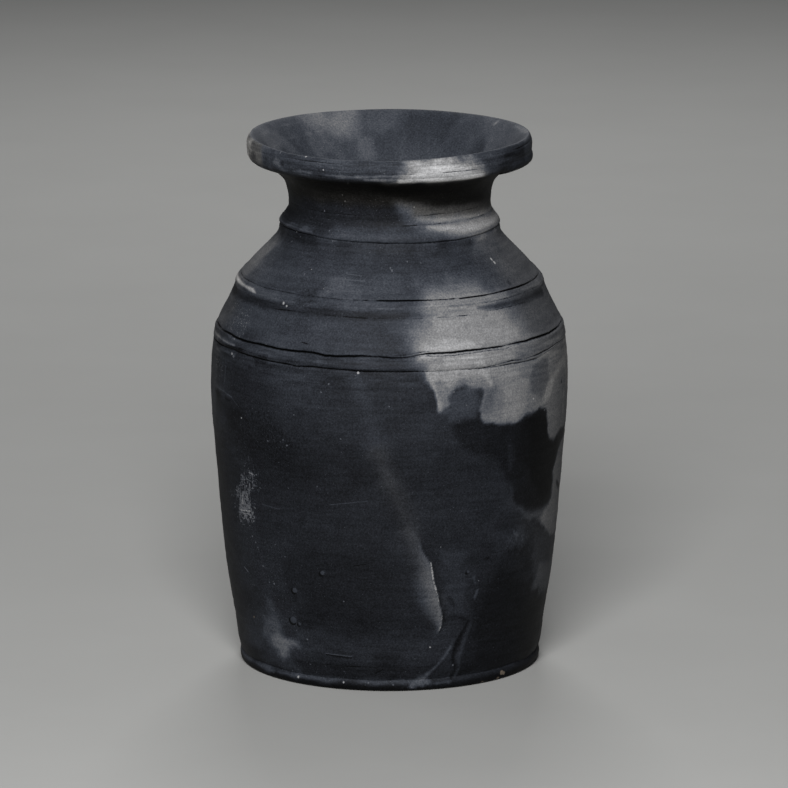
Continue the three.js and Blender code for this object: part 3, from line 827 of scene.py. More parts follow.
# Where the clay is tinted warmer, under the lip and along the sides.
WARMTH = [
    Area([(-179, 314), (-179, 332.6), (179, 332.6), (179, 314)], 4, None, 1.0, 0.5),
    Area([(14, 306), (10, 320), (92, 318), (92, 300)], 4, None, 0.9, 0.5),
    Area([(-97, 334), (-97, 352), (-64, 352), (-60, 334)], 3, None, 0.75, 1),
    Area([(52, 100), (52, 292), (150, 292), (150, 20), (60, 20)], 20, None, 0.4, 2),
    Area([(-150, 10), (-150, 290), (-72, 290), (-70, 10)], 16, None, 0.45, 2),
    Stroke([(-3, 160), (-0.8, 148), (2.5, 130), (5.5, 115), (8, 103), (14, 70), (17, 50)],
           4, 8, None, 0.4, 1),
]

# How strongly the throwing combed fine rings into the clay at each height.
COMBED = [
    (0, 0.3), (30, 0.5), (60, 0.3), (200, 0.4), (207, 1.0), (222, 1.1), (228, 0.4), (244, 0.4), (250, 0.9),
    (256, 0.8), (262, 0.4), (284, 0.6), (292, 0.7), (300, 0.6), (330, 0.3), (334, 1.2), (350, 1.2),
]

# How far the crest of the rim dips below its highest, in mm, round the jar.
RIM_DIP = [
    (-180, 0), (-85, 0.3), (-62, 1.0), (-46, 2.1), (-25, 2.5), (3, 2.5), (14, 1.7), (26, 1.2), (45, 0.5),
    (70, 0), (180, 0),
]


# The sections' outlines. The skin is what shows and carries the relief; the rest is hidden.

def gathered(plain_row):
    """A spacing of rows that is closer where a line runs."""
    def spacing(middle):
        near = [np.abs(middle[:, 1] - line.height) < LINE_REACH for line in LINES]
        return np.where(np.any(near, axis=0), LINE_ROW, plain_row)
    return spacing


def section(*parts):
    """Rows of [radius, height, side] from (points, side) parts, without doubled corners."""
    rows = []
    for points, side in parts:
        rows.append(np.hstack([points, np.full((len(points), 1), float(side))]))
    rows = np.vstack(rows)
    step = np.hypot(*np.diff(rows[:, :2], axis=0).T)
    keep = np.concatenate([[True], step > SAME_POINT])
    for i in np.flatnonzero(~keep):
        rows[i - 1, 2] = max(rows[i - 1, 2], rows[i, 2])
    return rows[keep]


def base_slab():
    flat = FOOT_RADIUS - FOOT_ROUND
    side = through([(flat, 0), (98.0, 0.8), (FOOT_RADIUS, FOOT_ROUND), (98.6, 5.6), FOOT_EDGE])
    return section(
        (straight((0.0, 0.0), (flat, 0.0), spacing=FLAT_ROW), HIDDEN),
        (rows_along(side, LINE_ROW), OUTSIDE),
        (straight(FOOT_EDGE, (FOOT_SEAT, FOOT_CREASE), FLOOR_EDGE), HIDDEN),
        (straight(FLOOR_EDGE, (0.0, FLOOR_TOP), spacing=FLAT_ROW), HIDDEN),
    )


def belly_wall():
    skin = through([
        FOOT_EDGE, (98.8, 10), (101.9, 31), (106.5, 58), (109.6, 85), (112.0, 111), (114.2, 138),
        (116.5, 165), (BELLY_RADIUS - RELIEF_ROOM, FULL_HEIGHT), (116.5, 204), BAND_LOW_EDGE,
    ])
    inside = through([WALL_CORNER, (108.1, FULL_HEIGHT), (103.1, 111), (97.5, 58), FLOOR_EDGE])
    return section(
        (rows_along(skin, gathered(PLAIN_ROW)), OUTSIDE),
        (straight(BAND_LOW_EDGE, (BAND_SEAT, BAND_LOW), (BAND_SEAT, SEAT_LOW), (BAND_TONGUE, SEAT_LOW),
                  (BAND_TONGUE, WALL_TOP), WALL_CORNER), HIDDEN),
        (rows_along(inside, HIDDEN_ROW), HIDDEN),
        (straight(FLOOR_EDGE, (FOOT_SEAT, FOOT_CREASE)), HIDDEN),
    )


def seam_band():
    skin = through([
        BAND_LOW_EDGE, (115.35, 216.8), (115.2, 218.6), (114.8, 220.3), (114.4, 221.6), (114.2, 223.0),
        BAND_TOP_EDGE,
    ])
    return section(
        (rows_along(skin, BAND_ROW), OUTSIDE),
        (straight(BAND_TOP_EDGE, (BAND_SEAT, BAND_TOP), (BAND_SEAT, BAND_LOW)), HIDDEN),
    )


def lower_shoulder():
    skin = through([
        (113.0, BAND_TOP), (111.3, 229.2), (109.2, 233.6), (107.0, 237.7), (105.0, 241.7), (103.2, 245.7),
        (101.8, 249.2), (101.1, 251.4), (100.9, 253.0), (100.3, 254.7), (98.9, 256.5), BEAD_EDGE,
    ])
    inside = through([BEAD_CORNER, (98.6, 241), WALL_CORNER])
    return section(
        (rows_along(skin, gathered(FINE_ROW)), OUTSIDE),
        (straight(BEAD_EDGE, (BEAD_TONGUE, BEAD_TOP), (BEAD_TONGUE, BEAD_TONGUE_TOP), BEAD_CORNER), HIDDEN),
        (rows_along(inside, HIDDEN_ROW), HIDDEN),
        (straight(WALL_CORNER, (BAND_TONGUE, WALL_TOP), (BAND_TONGUE, SEAT_LOW), (BAND_SEAT, SEAT_LOW),
                  (BAND_SEAT, BAND_TOP)), HIDDEN),
    )


def upper_shoulder():
    skin = through([
        BEAD_EDGE, (96.9, 258.8), (93.9, 261.8), (90.2, 266), (86.5, 270), (82.6, 274), (78.7, 278),
        (75.1, 282), (73.2, 284.6), (72.4, 286.6), (72.1, 288.6), COLLAR_EDGE,
    ])
    inside = bend(THROAT_CORNER, (THROAT_RADIUS, 284.9), BEAD_CORNER)
    return section(
        (rows_along(skin, gathered(FINE_ROW)), OUTSIDE),
        (straight(COLLAR_EDGE, (COLLAR_TONGUE, COLLAR_LOW), (COLLAR_TONGUE, COLLAR_TONGUE_TOP),
                  THROAT_CORNER), HIDDEN),
        (rows_along(inside, THROAT_ROW), HIDDEN),
        (straight(BEAD_CORNER, (BEAD_TONGUE, BEAD_TONGUE_TOP), (BEAD_TONGUE, BEAD_TOP)), HIDDEN),
    )


def neck_and_rim():
    neck = through([
        COLLAR_EDGE, (72.2, 291.6), (71.9, 292.9), (71.0, 294.7), (69.6, 296.6), (68.1, 298.8),
        (66.6, 301.4), (66.1, 303.2), (66.0, 306), (66.2, 309.5), (66.9, 314), (67.9, 318), (69.3, 321),
        (71.8, 324), (75.2, 326.9), (79.2, 329.5), (83, 331.2), (86.6, 332.0), (89.3, 333.0), (91.2, 334.6),
        (92.4, 336.9), (92.85, 340), (RIM_RADIUS, 343), (92.9, 345.6), (92.5, 347.2), (91.8, 348.7),
        (91.1, 349.7), CREST,
    ])
    funnel = through([
        CREST, (89.3, 349.6), (87.4, 348.3), (84.2, 345.4), (80, 340.8), (75, 335), (69.5, 328.4),
        (64.3, 322.2), (60.3, 317), (THROAT_RADIUS, THROAT_TOP),
    ])
    return section(
        (rows_along(neck, gathered(FINE_ROW)), OUTSIDE),
        (rows_along(funnel, FUNNEL_ROW), INSIDE),
        (straight((THROAT_RADIUS, THROAT_TOP), THROAT_CORNER, (COLLAR_TONGUE, COLLAR_TONGUE_TOP),
                  (COLLAR_TONGUE, COLLAR_LOW)), HIDDEN),
    )


# Relief, in mm outwards

# Waves over the wall: their strength, the most that go round, the shortest up the jar in mm, how many
# are added up, and their seed. The last ones are in the shade, and the others in the relief.
SLOW_WAVES = (0.15, 3, 110, 10, 3)
THROWING_RINGS = (0.05, 2, 6, 16, 4)
KNUCKLE_MARKS = (0.05, 9, 22, 16, 5)
CLOUDS = (0.05, 4, 90, 12, 31)
SLOW_INSET = 0.08
SLOW_ENDS = (290, 330)

# The crease's relief. A pair says where something starts to change and where it has changed.
CREASE_STARTS = (34, 46)
CREASE_ENDS = (88, 114)
CREASE_CREST = -1
CREASE_DROP = (-0.6, 1.4)
CREASE_TALL = 0.9
HOLLOW_PLACE = 3
HOLLOW_WIDTH = 3.2
HOLLOW_DEEP = 0.8
CREASE_WANDER = 0.004
CREASE_WAVE = 16
CREASE_SEED = 77
CREASE_OCTAVES = 4

# A blister's flat top and its edge, as shares of its radius.
BLISTER_TOP = 0.4
BLISTER_EDGE = 0.8

SEAM_REACH = 3.5
DIP_GROWS = (334, 349)


def waves(azimuth, height, kind):
    strength, *shape = kind
    return strength * ripple(azimuth, height, *shape)


def between(value, start, end):
    """0, then 1 from the end of the first ramp to the start of the second, then 0 again."""
    return ease(value, *start) * (1 - ease(value, *end))


def swell(azimuth, height):
    """The wall is never quite round: slow waves, throwing rings and knuckle marks."""
    slow = waves(azimuth, height, SLOW_WAVES) - SLOW_INSET
    rings = waves(azimuth, height, THROWING_RINGS)
    return (1 - ease(height, *SLOW_ENDS)) * slow + rings + waves(azimuth, height, KNUCKLE_MARKS)


def from_crease(skin):
    """Signed distance in mm from the crease's sharp edge."""
    azimuth = curve(skin.height, [(height, azimuth) for azimuth, height in reversed(CREASE)])
    wander = CREASE_WANDER * rough(0, skin.height, CREASE_WAVE, CREASE_SEED, CREASE_OCTAVES)
    return wrapped(skin.azimuth - np.radians(azimuth) - wander) * skin.radius


def fold(skin):
    """The crease rises slowly from the left and drops at its sharp edge."""
    across = from_crease(skin)
    rise = between(across, (-curve(skin.height, CREASE_FLANK), CREASE_CREST), CREASE_DROP)
    hollow = np.exp(-((across - HOLLOW_PLACE) / HOLLOW_WIDTH) ** 2)
    strength = between(skin.height, CREASE_STARTS, CREASE_ENDS)
    return strength * (CREASE_TALL * rise - HOLLOW_DEEP * hollow)


def relief(skin):
    shape = swell(skin.azimuth, skin.height)
    for line in LINES:
        shape = shape - line.depth * line.trace(skin, line.width)
    for azimuth, height, size, tall in BLISTERS:
        shape = shape + tall * spot(azimuth, height, size * BLISTER_TOP, size * BLISTER_EDGE).cover(skin)
    for mark, tall in FOLDS:
        shape = shape + tall * mark.cover(skin)
    return shape + LIP_CORNER.cover(skin) + fold(skin)


def warp(azimuth, height):
    """The seams wander a little in height, and everything near them goes along."""
    shift = 0
    for line in LINES:
        if line.seam:
            shift = shift + np.exp(-((height - line.height) / SEAM_REACH) ** 2) * line.rise(azimuth)
    return shift


def dip(azimuth, height):
    """How far the rim sinks, all of it at its crest and none at the lip's foot."""
    return curve(np.degrees(azimuth), RIM_DIP) * ease(height, *DIP_GROWS)


# Colour and wear on the skin

GRAIN_SHADE = 0.03

# The crease's flank, pale clay with painted light on it: how pale it is, and how much more at its sharp
# edge. Pairs are as above.
FLANK_STARTS = (37, 42)
FLANK_ENDS = (74, 118)
FLANK_FULL = 0.3
FLANK_DROP = (-0.4, 0.6)
FLANK_SHADE = 0.225
FLANK_EDGE_SHADE = 0.15
FLANK_STRENGTH = 0.95

# A line's black is narrower than its groove, by this share.
DARK_WIDTH = 0.8
DARKEST = 1.2

# The marks are set for the front half. Past this azimuth, in degrees, each is drawn out round the side,
# so that what is set to end near SIDE_END ends at SIDE_REACH, more or less, at an uneven edge.
SIDE_START = 80
SIDE_END = 92
SIDE_REACH = 122
SIDE_WANDER = 9
SIDE_LIMIT = 3
SIDE_WAVE = 70
SIDE_SEED = 61
HALF_TURN = 180


def drawn_out(azimuth, height):
    """The azimuth at which the marks are looked up."""
    uneven = rough(0, height, SIDE_WAVE, SIDE_SEED) * np.sign(azimuth)
    reach = SIDE_REACH + SIDE_WANDER * np.clip(uneven, -SIDE_LIMIT, SIDE_LIMIT)
    turn = np.degrees(np.abs(azimuth))
    near = SIDE_START + (turn - SIDE_START) * (SIDE_END - SIDE_START) / (reach - SIDE_START)
    far = SIDE_END + (turn - reach) * (HALF_TURN - SIDE_END) / (HALF_TURN - reach)
    drawn = np.where(turn < SIDE_START, turn, np.where(turn < reach, near, far))
    return np.radians(drawn) * np.sign(azimuth)


def painted(skin, plain, marks):
    """The shade of the plain clay at each height, clouded a little, with the marks over it."""
    cloud = waves(skin.azimuth, skin.height, CLOUDS)
    shade = curve(skin.height, plain) * (1 + cloud + GRAIN_SHADE * skin.fray)
    for mark in marks:
        shade = shade + mark.cover(skin) * (mark.shade - shade)
    return shade


def outside_shade(skin):
    """The painted skin, with the crease's flank brighter towards its sharp edge: paler clay with painted
    light on its slope.
    """
    shade = painted(skin, PLAIN_CLAY, SHADES)
    across = from_crease(skin)
    width = curve(skin.height, CREASE_FLANK)
    flank = between(across, (-width, -FLANK_FULL * width), FLANK_DROP)
    flank = flank * between(skin.height, FLANK_STARTS, FLANK_ENDS)
    bright = FLANK_SHADE + FLANK_EDGE_SHADE * np.clip(1 + across / width, 0, 1) ** 2
    return shade + flank * (bright - shade) * FLANK_STRENGTH


def cover_of(marks, skin):
    return np.max([mark.cover(skin) for mark in marks], axis=0)


def darkness(skin):
    """The black inside the cracks, grooves and pits."""
    dark = cover_of(PITTED, skin)
    for line in LINES:
        dark = np.maximum(dark, line.dark * line.trace(skin, line.width * DARK_WIDTH))
    return np.clip(dark, 0, DARKEST)


# Meshes

# The stored marks, which the clay's material reads.
FIELDS = ("scuff", "dark", "fleck", "warmth", "comb", "shade")

# Heights between which the relief turns from level to square to the outline.
LEVEL_ENDS = (318, 330)


def columns():
    """Azimuths of the mesh's columns, from the left side over the front and round the back."""
    half = math.pi / 2
    front = np.linspace(-half, half, FRONT_COLUMNS, endpoint=False)
    back = np.linspace(half, 3 * half, BACK_COLUMNS, endpoint=False)
    return wrapped(np.concatenate([front, back]))[:, None]


def fields_on(side, azimuth, height, radius):
    """Relief in mm and the stored marks on a visible side of the wall."""
    skin = Skin(azimuth, height, radius)
    if side == INSIDE:
        shade = painted(skin, PLAIN_FUNNEL, FUNNEL_SHADES)
        return {"relief": swell(skin.azimuth, skin.height), "shade": shade}
    drawn = Skin(drawn_out(azimuth, height), height, radius)
    return {
        "relief": relief(skin),
        "scuff": cover_of(SCUFFS, drawn),
        "dark": darkness(skin),
        "fleck": cover_of(FLECKED, drawn),
        "warmth": cover_of(WARMTH, drawn),
        "comb": curve(skin.height, COMBED),
        "shade": outside_shade(drawn),
    }


def surface_fields(azimuth, height, radius, side):
    """Relief in mm and the stored marks for every vertex: nothing on hidden rows."""
    fields = {name: np.zeros((len(azimuth), len(height))) for name in ("relief", *FIELDS)}
    fields["shade"] += UNSEEN_SHADE
    for wanted in (OUTSIDE, INSIDE):
        rows = np.flatnonzero(side == wanted)
        if rows.size:
            for name, values in fields_on(wanted, azimuth, height[rows], radius[rows]).items():
                fields[name][:, rows] = values
    return fields


def outwards(rows):
    """Steps out of the wall at each row: level up to the neck, and square to the outline on the rim."""
    tangent = np.gradient(rows[:, :2], axis=0)
    tangent = tangent / np.hypot(*tangent.T)[:, None]
    level = 1 - ease(rows[:, 1], *LEVEL_ENDS)
    return tangent[:, 1] * (1 - level) + level, -tangent[:, 0] * (1 - level)


def faces_between(around, count, poles):
    """Faces between columns of `count` rows: closed to a ring of rows, or with a fan at each pole."""
    low = np.arange(around * count).reshape(around, count)
    right = np.roll(low, -1, axis=0)
    if not poles:
        corners = [low, right, np.roll(right, -1, axis=1), np.roll(low, -1, axis=1)]
        return np.stack(corners, axis=-1).reshape(-1, 4).tolist()
    corners = [low[:, :-1], right[:, :-1], right[:, 1:], low[:, 1:]]
    faces = np.stack(corners, axis=-1).reshape(-1, 4).tolist()
    faces += [(low.size, b, a) for a, b in zip(low[:, 0], right[:, 0])]
    faces += [(low.size + 1, a, b) for a, b in zip(low[:, -1], right[:, -1])]
    return faces


def placed(name, data):
    """A new object with this data, in the scene."""
    thing = bpy.data.objects.new(name, data)
    bpy.context.scene.collection.objects.link(thing)
    return thing


def turned(name, rows, material):
    """A closed mesh of the rows turned about Z, with its relief pressed in and its marks stored."""
    azimuth = columns()
    radius, height, side = rows.T
    out_r, out_z = outwards(rows)
    fields = surface_fields(azimuth, height, radius, side)
    push = fields["relief"]
    level = np.broadcast_to(height, push.shape)
    grid_r = np.minimum(radius + push * out_r, BELLY_RADIUS)
    grid_z = level + push * out_z + warp(azimuth, level) - dip(azimuth, level)
    grid = [grid_r * np.sin(azimuth), -grid_r * np.cos(azimuth), np.clip(grid_z, 0, RIM_TOP)]
    ring = np.flatnonzero(radius > 0)
    verts = np.stack(grid, axis=-1)[:, ring].reshape(-1, 3)
    poles = len(radius) - len(ring)
    if poles:
        verts = np.vstack([verts, [0, 0, height[0]], [0, 0, height[-1]]])
    mesh = bpy.data.meshes.new(name)
    mesh.from_pydata((verts * MM).tolist(), [], faces_between(len(azimuth), len(ring), poles))
    mesh.update()
    mesh.shade_smooth()
    for key in FIELDS:
        flat = np.concatenate([fields[key][:, ring].ravel(), np.full(poles, fields[key].mean())])
        attribute = mesh.attributes.new(key, "FLOAT", "POINT")
        attribute.data.foreach_set("value", flat.astype(np.float32))
    mesh.materials.append(material)
    return placed(name, mesh)


# Materials

# Noise that swings about 0: how much, how fine, its detail, its roughness and how it is drawn out.
USUAL_ROUGHNESS = 0.55
CLOUD = (0.24, 28, 4)
MOTTLE = (0.3, 160, 4)
GRAIN = (1.0, 900, 3, 0.7)
COMB = (0.8, 420, 3, USUAL_ROUGHNESS, (0.1, 0.1, 1))
TEAR = (0.9, 600, 4, 0.65)
GLOSS = (0.16, 90, 3)
RAGGED_ACROSS = (0.0012, 1400, 2)
RAGGED_UP = (0.0012, 1100, 2)

# Noise from 0 to 1, in the same form without how much.
UPRIGHT_HATCH = (1000, 3, USUAL_ROUGHNESS, (1, 1, 0.3))
LEVEL_HATCH = (900, 3, USUAL_ROUGHNESS, (0.35, 0.35, 1))
FLECKS = (1300, 1)
CHALK = (1500, 2)
FINE_BUMP = (900, 3)
LINE_BUMP = (800, 3, USUAL_ROUGHNESS, (0.06, 0.06, 1))
FLOOR_PATCHES = (6, 4)

# Where a value starts to show and where it shows in full. Chalk shows a tenth from the start.
HATCH_SHOWS = (0.68, 0.78)
SCUFF_SHOWS = (0.0, 0.2)
FLECK_SHOWS = (0.73, 0.79)
DARK_SHOWS = (0.12, 0.75)
CHALK_SHOWS = (0.36, 0.54, 0.1, 1)

# Between these two shades the clay's roughness goes from the third number to the last.
DULL = (0.1, 0.5, 0.64, 0.86)

# How strong each is in the shade. Clouds and grain are stronger on pale clay.
CLOUD_SHARE = 0.45
CLOUD_LEAST = 0.045
GRAIN_SHARE = 0.6
GRAIN_LEAST = 0.125
SCUFF_DENSE = 0.19
HATCH_PALE = 0.24
FLECK_DENSE = 0.06
FLECK_PALE = 0.16
BLACKEST = 0.9

# Grains of grog in the clay: how closely they could lie, which of them show, their size and shade.
GROG_SCALE = 120.0
GROG_RARE = 0.9
GROG_SIZE = 0.045
GROG_PALE = 0.25

# Tints at shades from 0 up: of the smoked clay, and where it is warmer.
COOL = [(0.0, (0.92, 1.0, 1.3)), (0.22, (0.88, 1.0, 1.26)), (0.45, (1.0, 1.0, 1.02))]
WARM = [(0.0, (1.1, 1.0, 0.75)), (0.15, (1.04, 1.0, 0.96)), (0.45, (1.03, 1.0, 0.95))]
CHIP_COLOUR = (0.16, 0.13, 0.1, 1)
CHIP_STRENGTH = 0.85
EYE_POWER = 2.2
LEAST_SHADE = 0.02

CLAY_SHINE = 0.1
FLOOR_SHINE = 0.2
EDGE_SOFTNESS = 0.00025

# The Mix node's sockets for colours, by number: three that go in, and what comes out.
MIX_FACTOR = 0
MIX_A = 6
MIX_B = 7
MIXED = 2


class Nodes:
    """Short calls that add shader nodes to one material."""

    def __init__(self, name):
        self.material = bpy.data.materials.new(name)
        self.material.use_nodes = True
        self.tree = self.material.node_tree
        self.tree.nodes.clear()
        self.place = self.add("ShaderNodeTexCoord").outputs["Object"]

    def add(self, kind, settings=None, **inputs):
        node = self.tree.nodes.new(kind)
        for key, value in (settings or {}).items():
            setattr(node, key, value)
        for key, value in inputs.items():
            self.give(node, key.replace("_", " "), value)
        return node

    def give(self, node, socket, value):
        """Sets a socket, by its name or number, to a value or to another node's output."""
        target = node.inputs[socket]
        if isinstance(value, bpy.types.NodeSocket):
            self.tree.links.new(value, target)
        else:
            target.default_value = value

    def operate(self, kind, operation, a, b):
        node = self.add(kind, {"operation": operation})
        self.give(node, 0, a)
        self.give(node, 1, b)
        return node.outputs

    def math(self, operation, a, b):
        return self.operate("ShaderNodeMath", operation, a, b)[0]

    def vector(self, operation, a, b):
        return self.operate("ShaderNodeVectorMath", operation, a, b)

    def plus(self, a, b):
        return self.math("ADD", a, b)

    def times(self, a, b):
        return self.math("MULTIPLY", a, b)

    def more(self, base, value, share):
        """The base with a share of the value added."""
        return self.plus(base, self.times(value, share))

    def attribute(self, name):
        return self.add("ShaderNodeAttribute", {"attribute_name": name}).outputs["Fac"]

    def noise(self, scale, detail, roughness=USUAL_ROUGHNESS, stretch=None):
        """Noise from 0 to 1, drawn out where the stretch is less than 1."""
        place = self.place
        if stretch:
            place = self.add("ShaderNodeMapping", Vector=place, Scale=stretch).outputs[0]
        node = self.add("ShaderNodeTexNoise", Vector=place, Scale=scale, Detail=detail, Roughness=roughness)
        return node.outputs["Fac"]

    def swing(self, amount, *noise):
        """Noise that swings about 0, by up to half the amount each way."""
        return self.times(self.math("SUBTRACT", self.noise(*noise), 0.5), amount)

    def ramp(self, value, stops):
        node = self.add("ShaderNodeValToRGB", Fac=value)
        elements = node.color_ramp.elements
        while len(elements) < len(stops):
            elements.new(0.5)
        for element, (place, colour) in zip(elements, stops):
            element.position = place
            element.color = (*colour, 1)
        return node.outputs["Color"]

    def map(self, value, low, high, to_low=0, to_high=1):
        node = self.add("ShaderNodeMapRange", {"interpolation_type": "SMOOTHSTEP"}, Value=value)
        limits = {"From Min": low, "From Max": high, "To Min": to_low, "To Max": to_high}
        for socket, number in limits.items():
            self.give(node, socket, number)
        return node.outputs["Result"]

    def mix(self, factor, a, b, blend="MIX"):
        node = self.add("ShaderNodeMix", {"data_type": "RGBA", "blend_type": blend})
        for socket, value in ((MIX_FACTOR, factor), (MIX_A, a), (MIX_B, b)):
            self.give(node, socket, value)
        return node.outputs[MIXED]

    def surfaced(self, colour, shine, **inputs):
        """The material, once its surface has this colour, shine and other inputs."""
        surface = self.add("ShaderNodeBsdfPrincipled", Base_Color=colour, **inputs)
        surface.inputs["Specular IOR Level"].default_value = shine
        out = self.add("ShaderNodeOutputMaterial")
        self.tree.links.new(surface.outputs[0], out.inputs["Surface"])
        return self.material


def unrolled(azimuth, height):
    """A place on the wall laid flat, in metres: round at a nominal radius, and up."""
    return (math.radians(azimuth) * NOMINAL_RADIUS * MM, 0.0, height * MM)


def flattened(n):
    """The wall laid flat, as `unrolled` does, but a little ragged."""
    parts = n.add("ShaderNodeSeparateXYZ", Vector=n.place).outputs
    turn = n.math("ARCTAN2", parts["X"], n.times(parts["Y"], -1.0))
    across = n.more(n.swing(*RAGGED_ACROSS), turn, NOMINAL_RADIUS * MM)
    up = n.plus(parts["Z"], n.swing(*RAGGED_UP))
    return n.add("ShaderNodeCombineXYZ", X=across, Z=up).outputs[0]


def within(n, spans):
    """1 where any of the (distance, reach in mm) pairs is inside its reach, and 0 elsewhere."""
    nearest = EDGE_SOFTNESS
    for distance, reach in spans:
        nearest = n.math("MINIMUM", nearest, n.math("SUBTRACT", distance, reach * MM))
    return n.map(nearest, -EDGE_SOFTNESS, EDGE_SOFTNESS, 1, 0)


def discs(n, flat, circles):
    """1 inside any of the circles, each (azimuth, height, radius), and 0 outside."""
    spans = []
    for azimuth, height, radius in circles:
        spans.append((n.vector("DISTANCE", flat, unrolled(azimuth, height))["Value"], radius))
    return within(n, spans)


def cuts(n, flat, strokes):
    """1 on any of the straight strokes, each (one end, the other end, half width), and 0 beside them."""
    spans = []
    for start, end, half in strokes:
        along = Vector(unrolled(*end)) - Vector(unrolled(*start))
        step = n.vector("SUBTRACT", flat, unrolled(*start))["Vector"]
        share = n.vector("DOT_PRODUCT", step, along / along.length_squared)["Value"]
        share = n.add("ShaderNodeClamp", Value=share).outputs[0]
        foot = n.vector("MULTIPLY", along, share)["Vector"]
        spans.append((n.vector("DISTANCE", step, foot)["Value"], half))
    return within(n, spans)


def clouded(n, shade):
    """The shade with slow clouds and mottling, then with grain and combed rings."""
    slow = n.plus(n.swing(*CLOUD), n.swing(*MOTTLE))
    shade = n.more(shade, slow, n.more(CLOUD_LEAST, shade, CLOUD_SHARE))
    fine = n.plus(n.swing(*GRAIN), n.times(n.swing(*COMB), n.attribute("comb")))
    return n.more(shade, fine, n.more(GRAIN_LEAST, shade, GRAIN_SHARE))


def worn(n, shade):
    """The shade with pale hatching on the scuffs, and with flecks and grains of grog."""
    scuff = n.attribute("scuff")
    hatch = n.math("MAXIMUM", n.noise(*UPRIGHT_HATCH), n.noise(*LEVEL_HATCH))
    hatch = n.map(n.more(hatch, scuff, SCUFF_DENSE), *HATCH_SHOWS)
    shade = n.more(shade, n.times(hatch, n.map(scuff, *SCUFF_SHOWS)), HATCH_PALE)
    fleck = n.more(n.noise(*FLECKS), n.attribute("fleck"), FLECK_DENSE)
    shade = n.more(shade, n.map(fleck, *FLECK_SHOWS), FLECK_PALE)
    grog = n.add("ShaderNodeTexVoronoi", Vector=n.place, Scale=GROG_SCALE).outputs
    chance = n.add("ShaderNodeSeparateColor", Color=grog["Color"]).outputs[0]
    near = n.math("LESS_THAN", grog["Distance"], GROG_SIZE)
    return n.more(shade, n.times(n.math("GREATER_THAN", chance, GROG_RARE), near), GROG_PALE)


def torn(n, shade):
    """The shade with the cracks, grooves and pits dark, their edges torn."""
    dark = n.map(n.plus(n.attribute("dark"), n.swing(*TEAR)), *DARK_SHOWS)
    return n.times(shade, n.more(1.0, dark, -BLACKEST))


def spotted(n, flat, shade):
    """The shade moved, wherever a kind of spot or scratch covers it, most of the way to that kind's own."""
    # Each blister gets a painted shadow to its lower left and a painted highlight to its upper right.
    blister_shadows = [(azimuth - 0.3, height - 0.5, size) for azimuth, height, size, _ in BLISTERS]
    blister_highlights = [(azimuth + 0.2, height + 0.3, size * 0.8) for azimuth, height, size, _ in BLISTERS]
    flakes = n.times(cuts(n, flat, CHALKED), n.map(n.noise(*CHALK), *CHALK_SHOWS))
    for cover, goal, strength in (
        (discs(n, flat, blister_shadows), 0.045, 0.9),
        (discs(n, flat, blister_highlights), 0.24, 0.85),
        (flakes, 0.66, 0.9),
        (discs(n, flat, SPECKS), 0.62, 0.9),
        (discs(n, flat, FAINT_SPECKS), 0.38, 0.8),
        (cuts(n, flat, SCRATCHES), 0.30, 0.85),
        (cuts(n, flat, DARK_SCRATCHES), 0.04, 0.85),
    ):
        shade = n.more(shade, n.math("SUBTRACT", goal, shade), n.times(cover, strength))
    return shade


def coloured(n, flat, shade):
    """The clay's colour at this shade, with the chips over it."""
    tint = n.mix(n.attribute("warmth"), n.ramp(shade, COOL), n.ramp(shade, WARM))
    value = n.math("POWER", n.math("MAXIMUM", shade, LEAST_SHADE), EYE_POWER)
    grey = n.add("ShaderNodeCombineColor", Red=value, Green=value, Blue=value).outputs[0]
    colour = n.mix(1.0, grey, tint, "MULTIPLY")
    return n.mix(n.times(discs(n, flat, CHIPS), CHIP_STRENGTH), colour, CHIP_COLOUR)


def smoked_clay():
    n = Nodes("smoked_clay")
    flat = flattened(n)
    shade = torn(n, worn(n, clouded(n, n.attribute("shade"))))
    shade = spotted(n, flat, shade)
    dull = n.plus(n.map(shade, *DULL), n.swing(*GLOSS))
    height = n.times(n.plus(n.noise(*FINE_BUMP), n.noise(*LINE_BUMP)), 0.5)
    bump = n.add("ShaderNodeBump", Strength=0.35, Distance=0.0004, Height=height)
    return n.surfaced(coloured(n, flat, shade), CLAY_SHINE, Roughness=dull, Normal=bump.outputs[0])


def floor_material():
    n = Nodes("pale_floor")
    colour = n.mix(n.noise(*FLOOR_PATCHES), (0.35, 0.35, 0.34, 1), (0.38, 0.38, 0.37, 1))
    return n.surfaced(colour, FLOOR_SHINE, Roughness=0.9)


# The jar

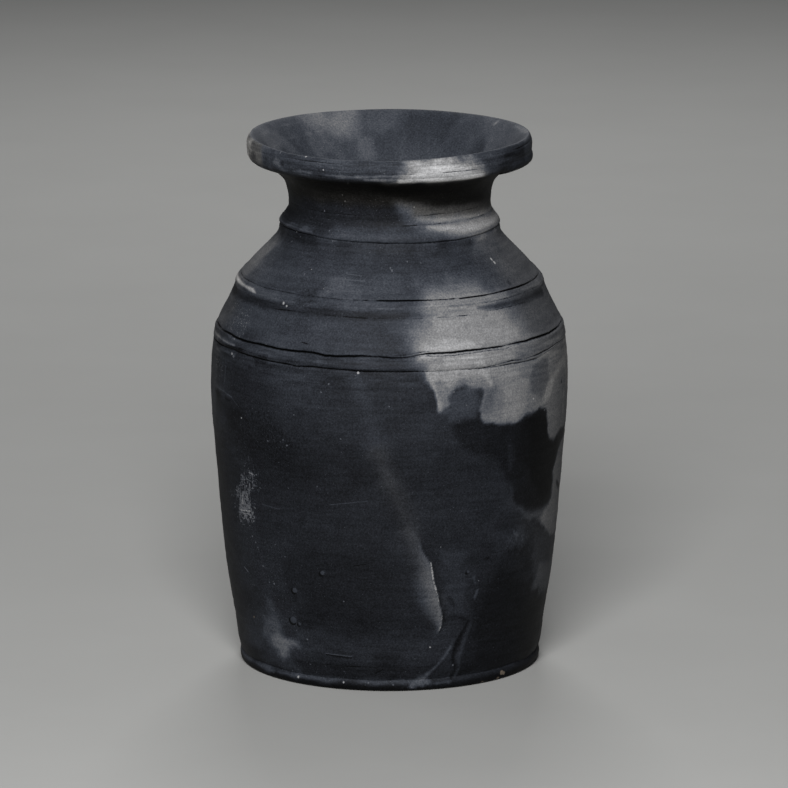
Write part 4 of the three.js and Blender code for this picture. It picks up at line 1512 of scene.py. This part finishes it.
clay = smoked_clay()
for make in (base_slab, belly_wall, seam_band, lower_shoulder, upper_shoulder, neck_and_rim):
    node = make.__name__
    piece = turned("clay_" + node, make(), clay)
    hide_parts(node)
    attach(piece, "root")


# Stage, camera and light

def add_floor():
    half = 15.0
    drop = -0.0003
    mesh = bpy.data.meshes.new("floor")
    corners = [(-half, -half, drop), (half, -half, drop), (half, half, drop), (-half, half, drop)]
    mesh.from_pydata(corners, [], [(0, 1, 2, 3)])
    mesh.materials.append(floor_material())
    floor = placed("floor", mesh)


def add_camera():
    """The picture is square. Its middle looks at the axis a little above half height, from above."""
    distance = 4.594
    span = 0.5172
    pitch = math.radians(12.2)
    aim = Vector((0.00295, 0, 0.1759))
    lens = bpy.data.cameras.new("camera")
    lens.sensor_width = 36
    lens.lens = lens.sensor_width * distance / span
    lens.clip_end = 100
    camera = placed("camera", lens)
    camera.location = aim + distance * Vector((0, -math.cos(pitch), math.sin(pitch)))
    camera.rotation_euler = (math.pi / 2 - pitch, 0, 0)
    bpy.context.scene.camera = camera


def add_light(name, azimuth, elevation, distance, size, power):
    """A soft square light that faces the middle of the jar."""
    target = Vector((0, 0, 0.18))
    a = math.radians(azimuth)
    e = math.radians(elevation)
    way = Vector((math.sin(a) * math.cos(e), -math.cos(a) * math.cos(e), math.sin(e)))
    data = bpy.data.lights.new(name, "AREA")
    data.shape = "SQUARE"
    data.size = size
    data.energy = power
    light = placed(name, data)
    light.location = target + distance * way
    light.rotation_euler = way.to_track_quat("Z", "Y").to_euler()


def add_world():
    world = bpy.data.worlds.new("pale_room")
    world.use_nodes = True
    background = world.node_tree.nodes["Background"]
    background.inputs["Color"].default_value = (0.9, 0.93, 1.0, 1)
    background.inputs["Strength"].default_value = 0.05
    bpy.context.scene.world = world


add_floor()
add_camera()
add_world()
add_light("key", azimuth=-4, elevation=34, distance=2.4, size=0.9, power=66)
add_light("left_edge", azimuth=-112, elevation=40, distance=2.5, size=0.8, power=2.5)
add_light("back_fill", azimuth=180, elevation=38, distance=2.8, size=0.9, power=30)
bpy.context.scene.view_settings.view_transform = "Standard"
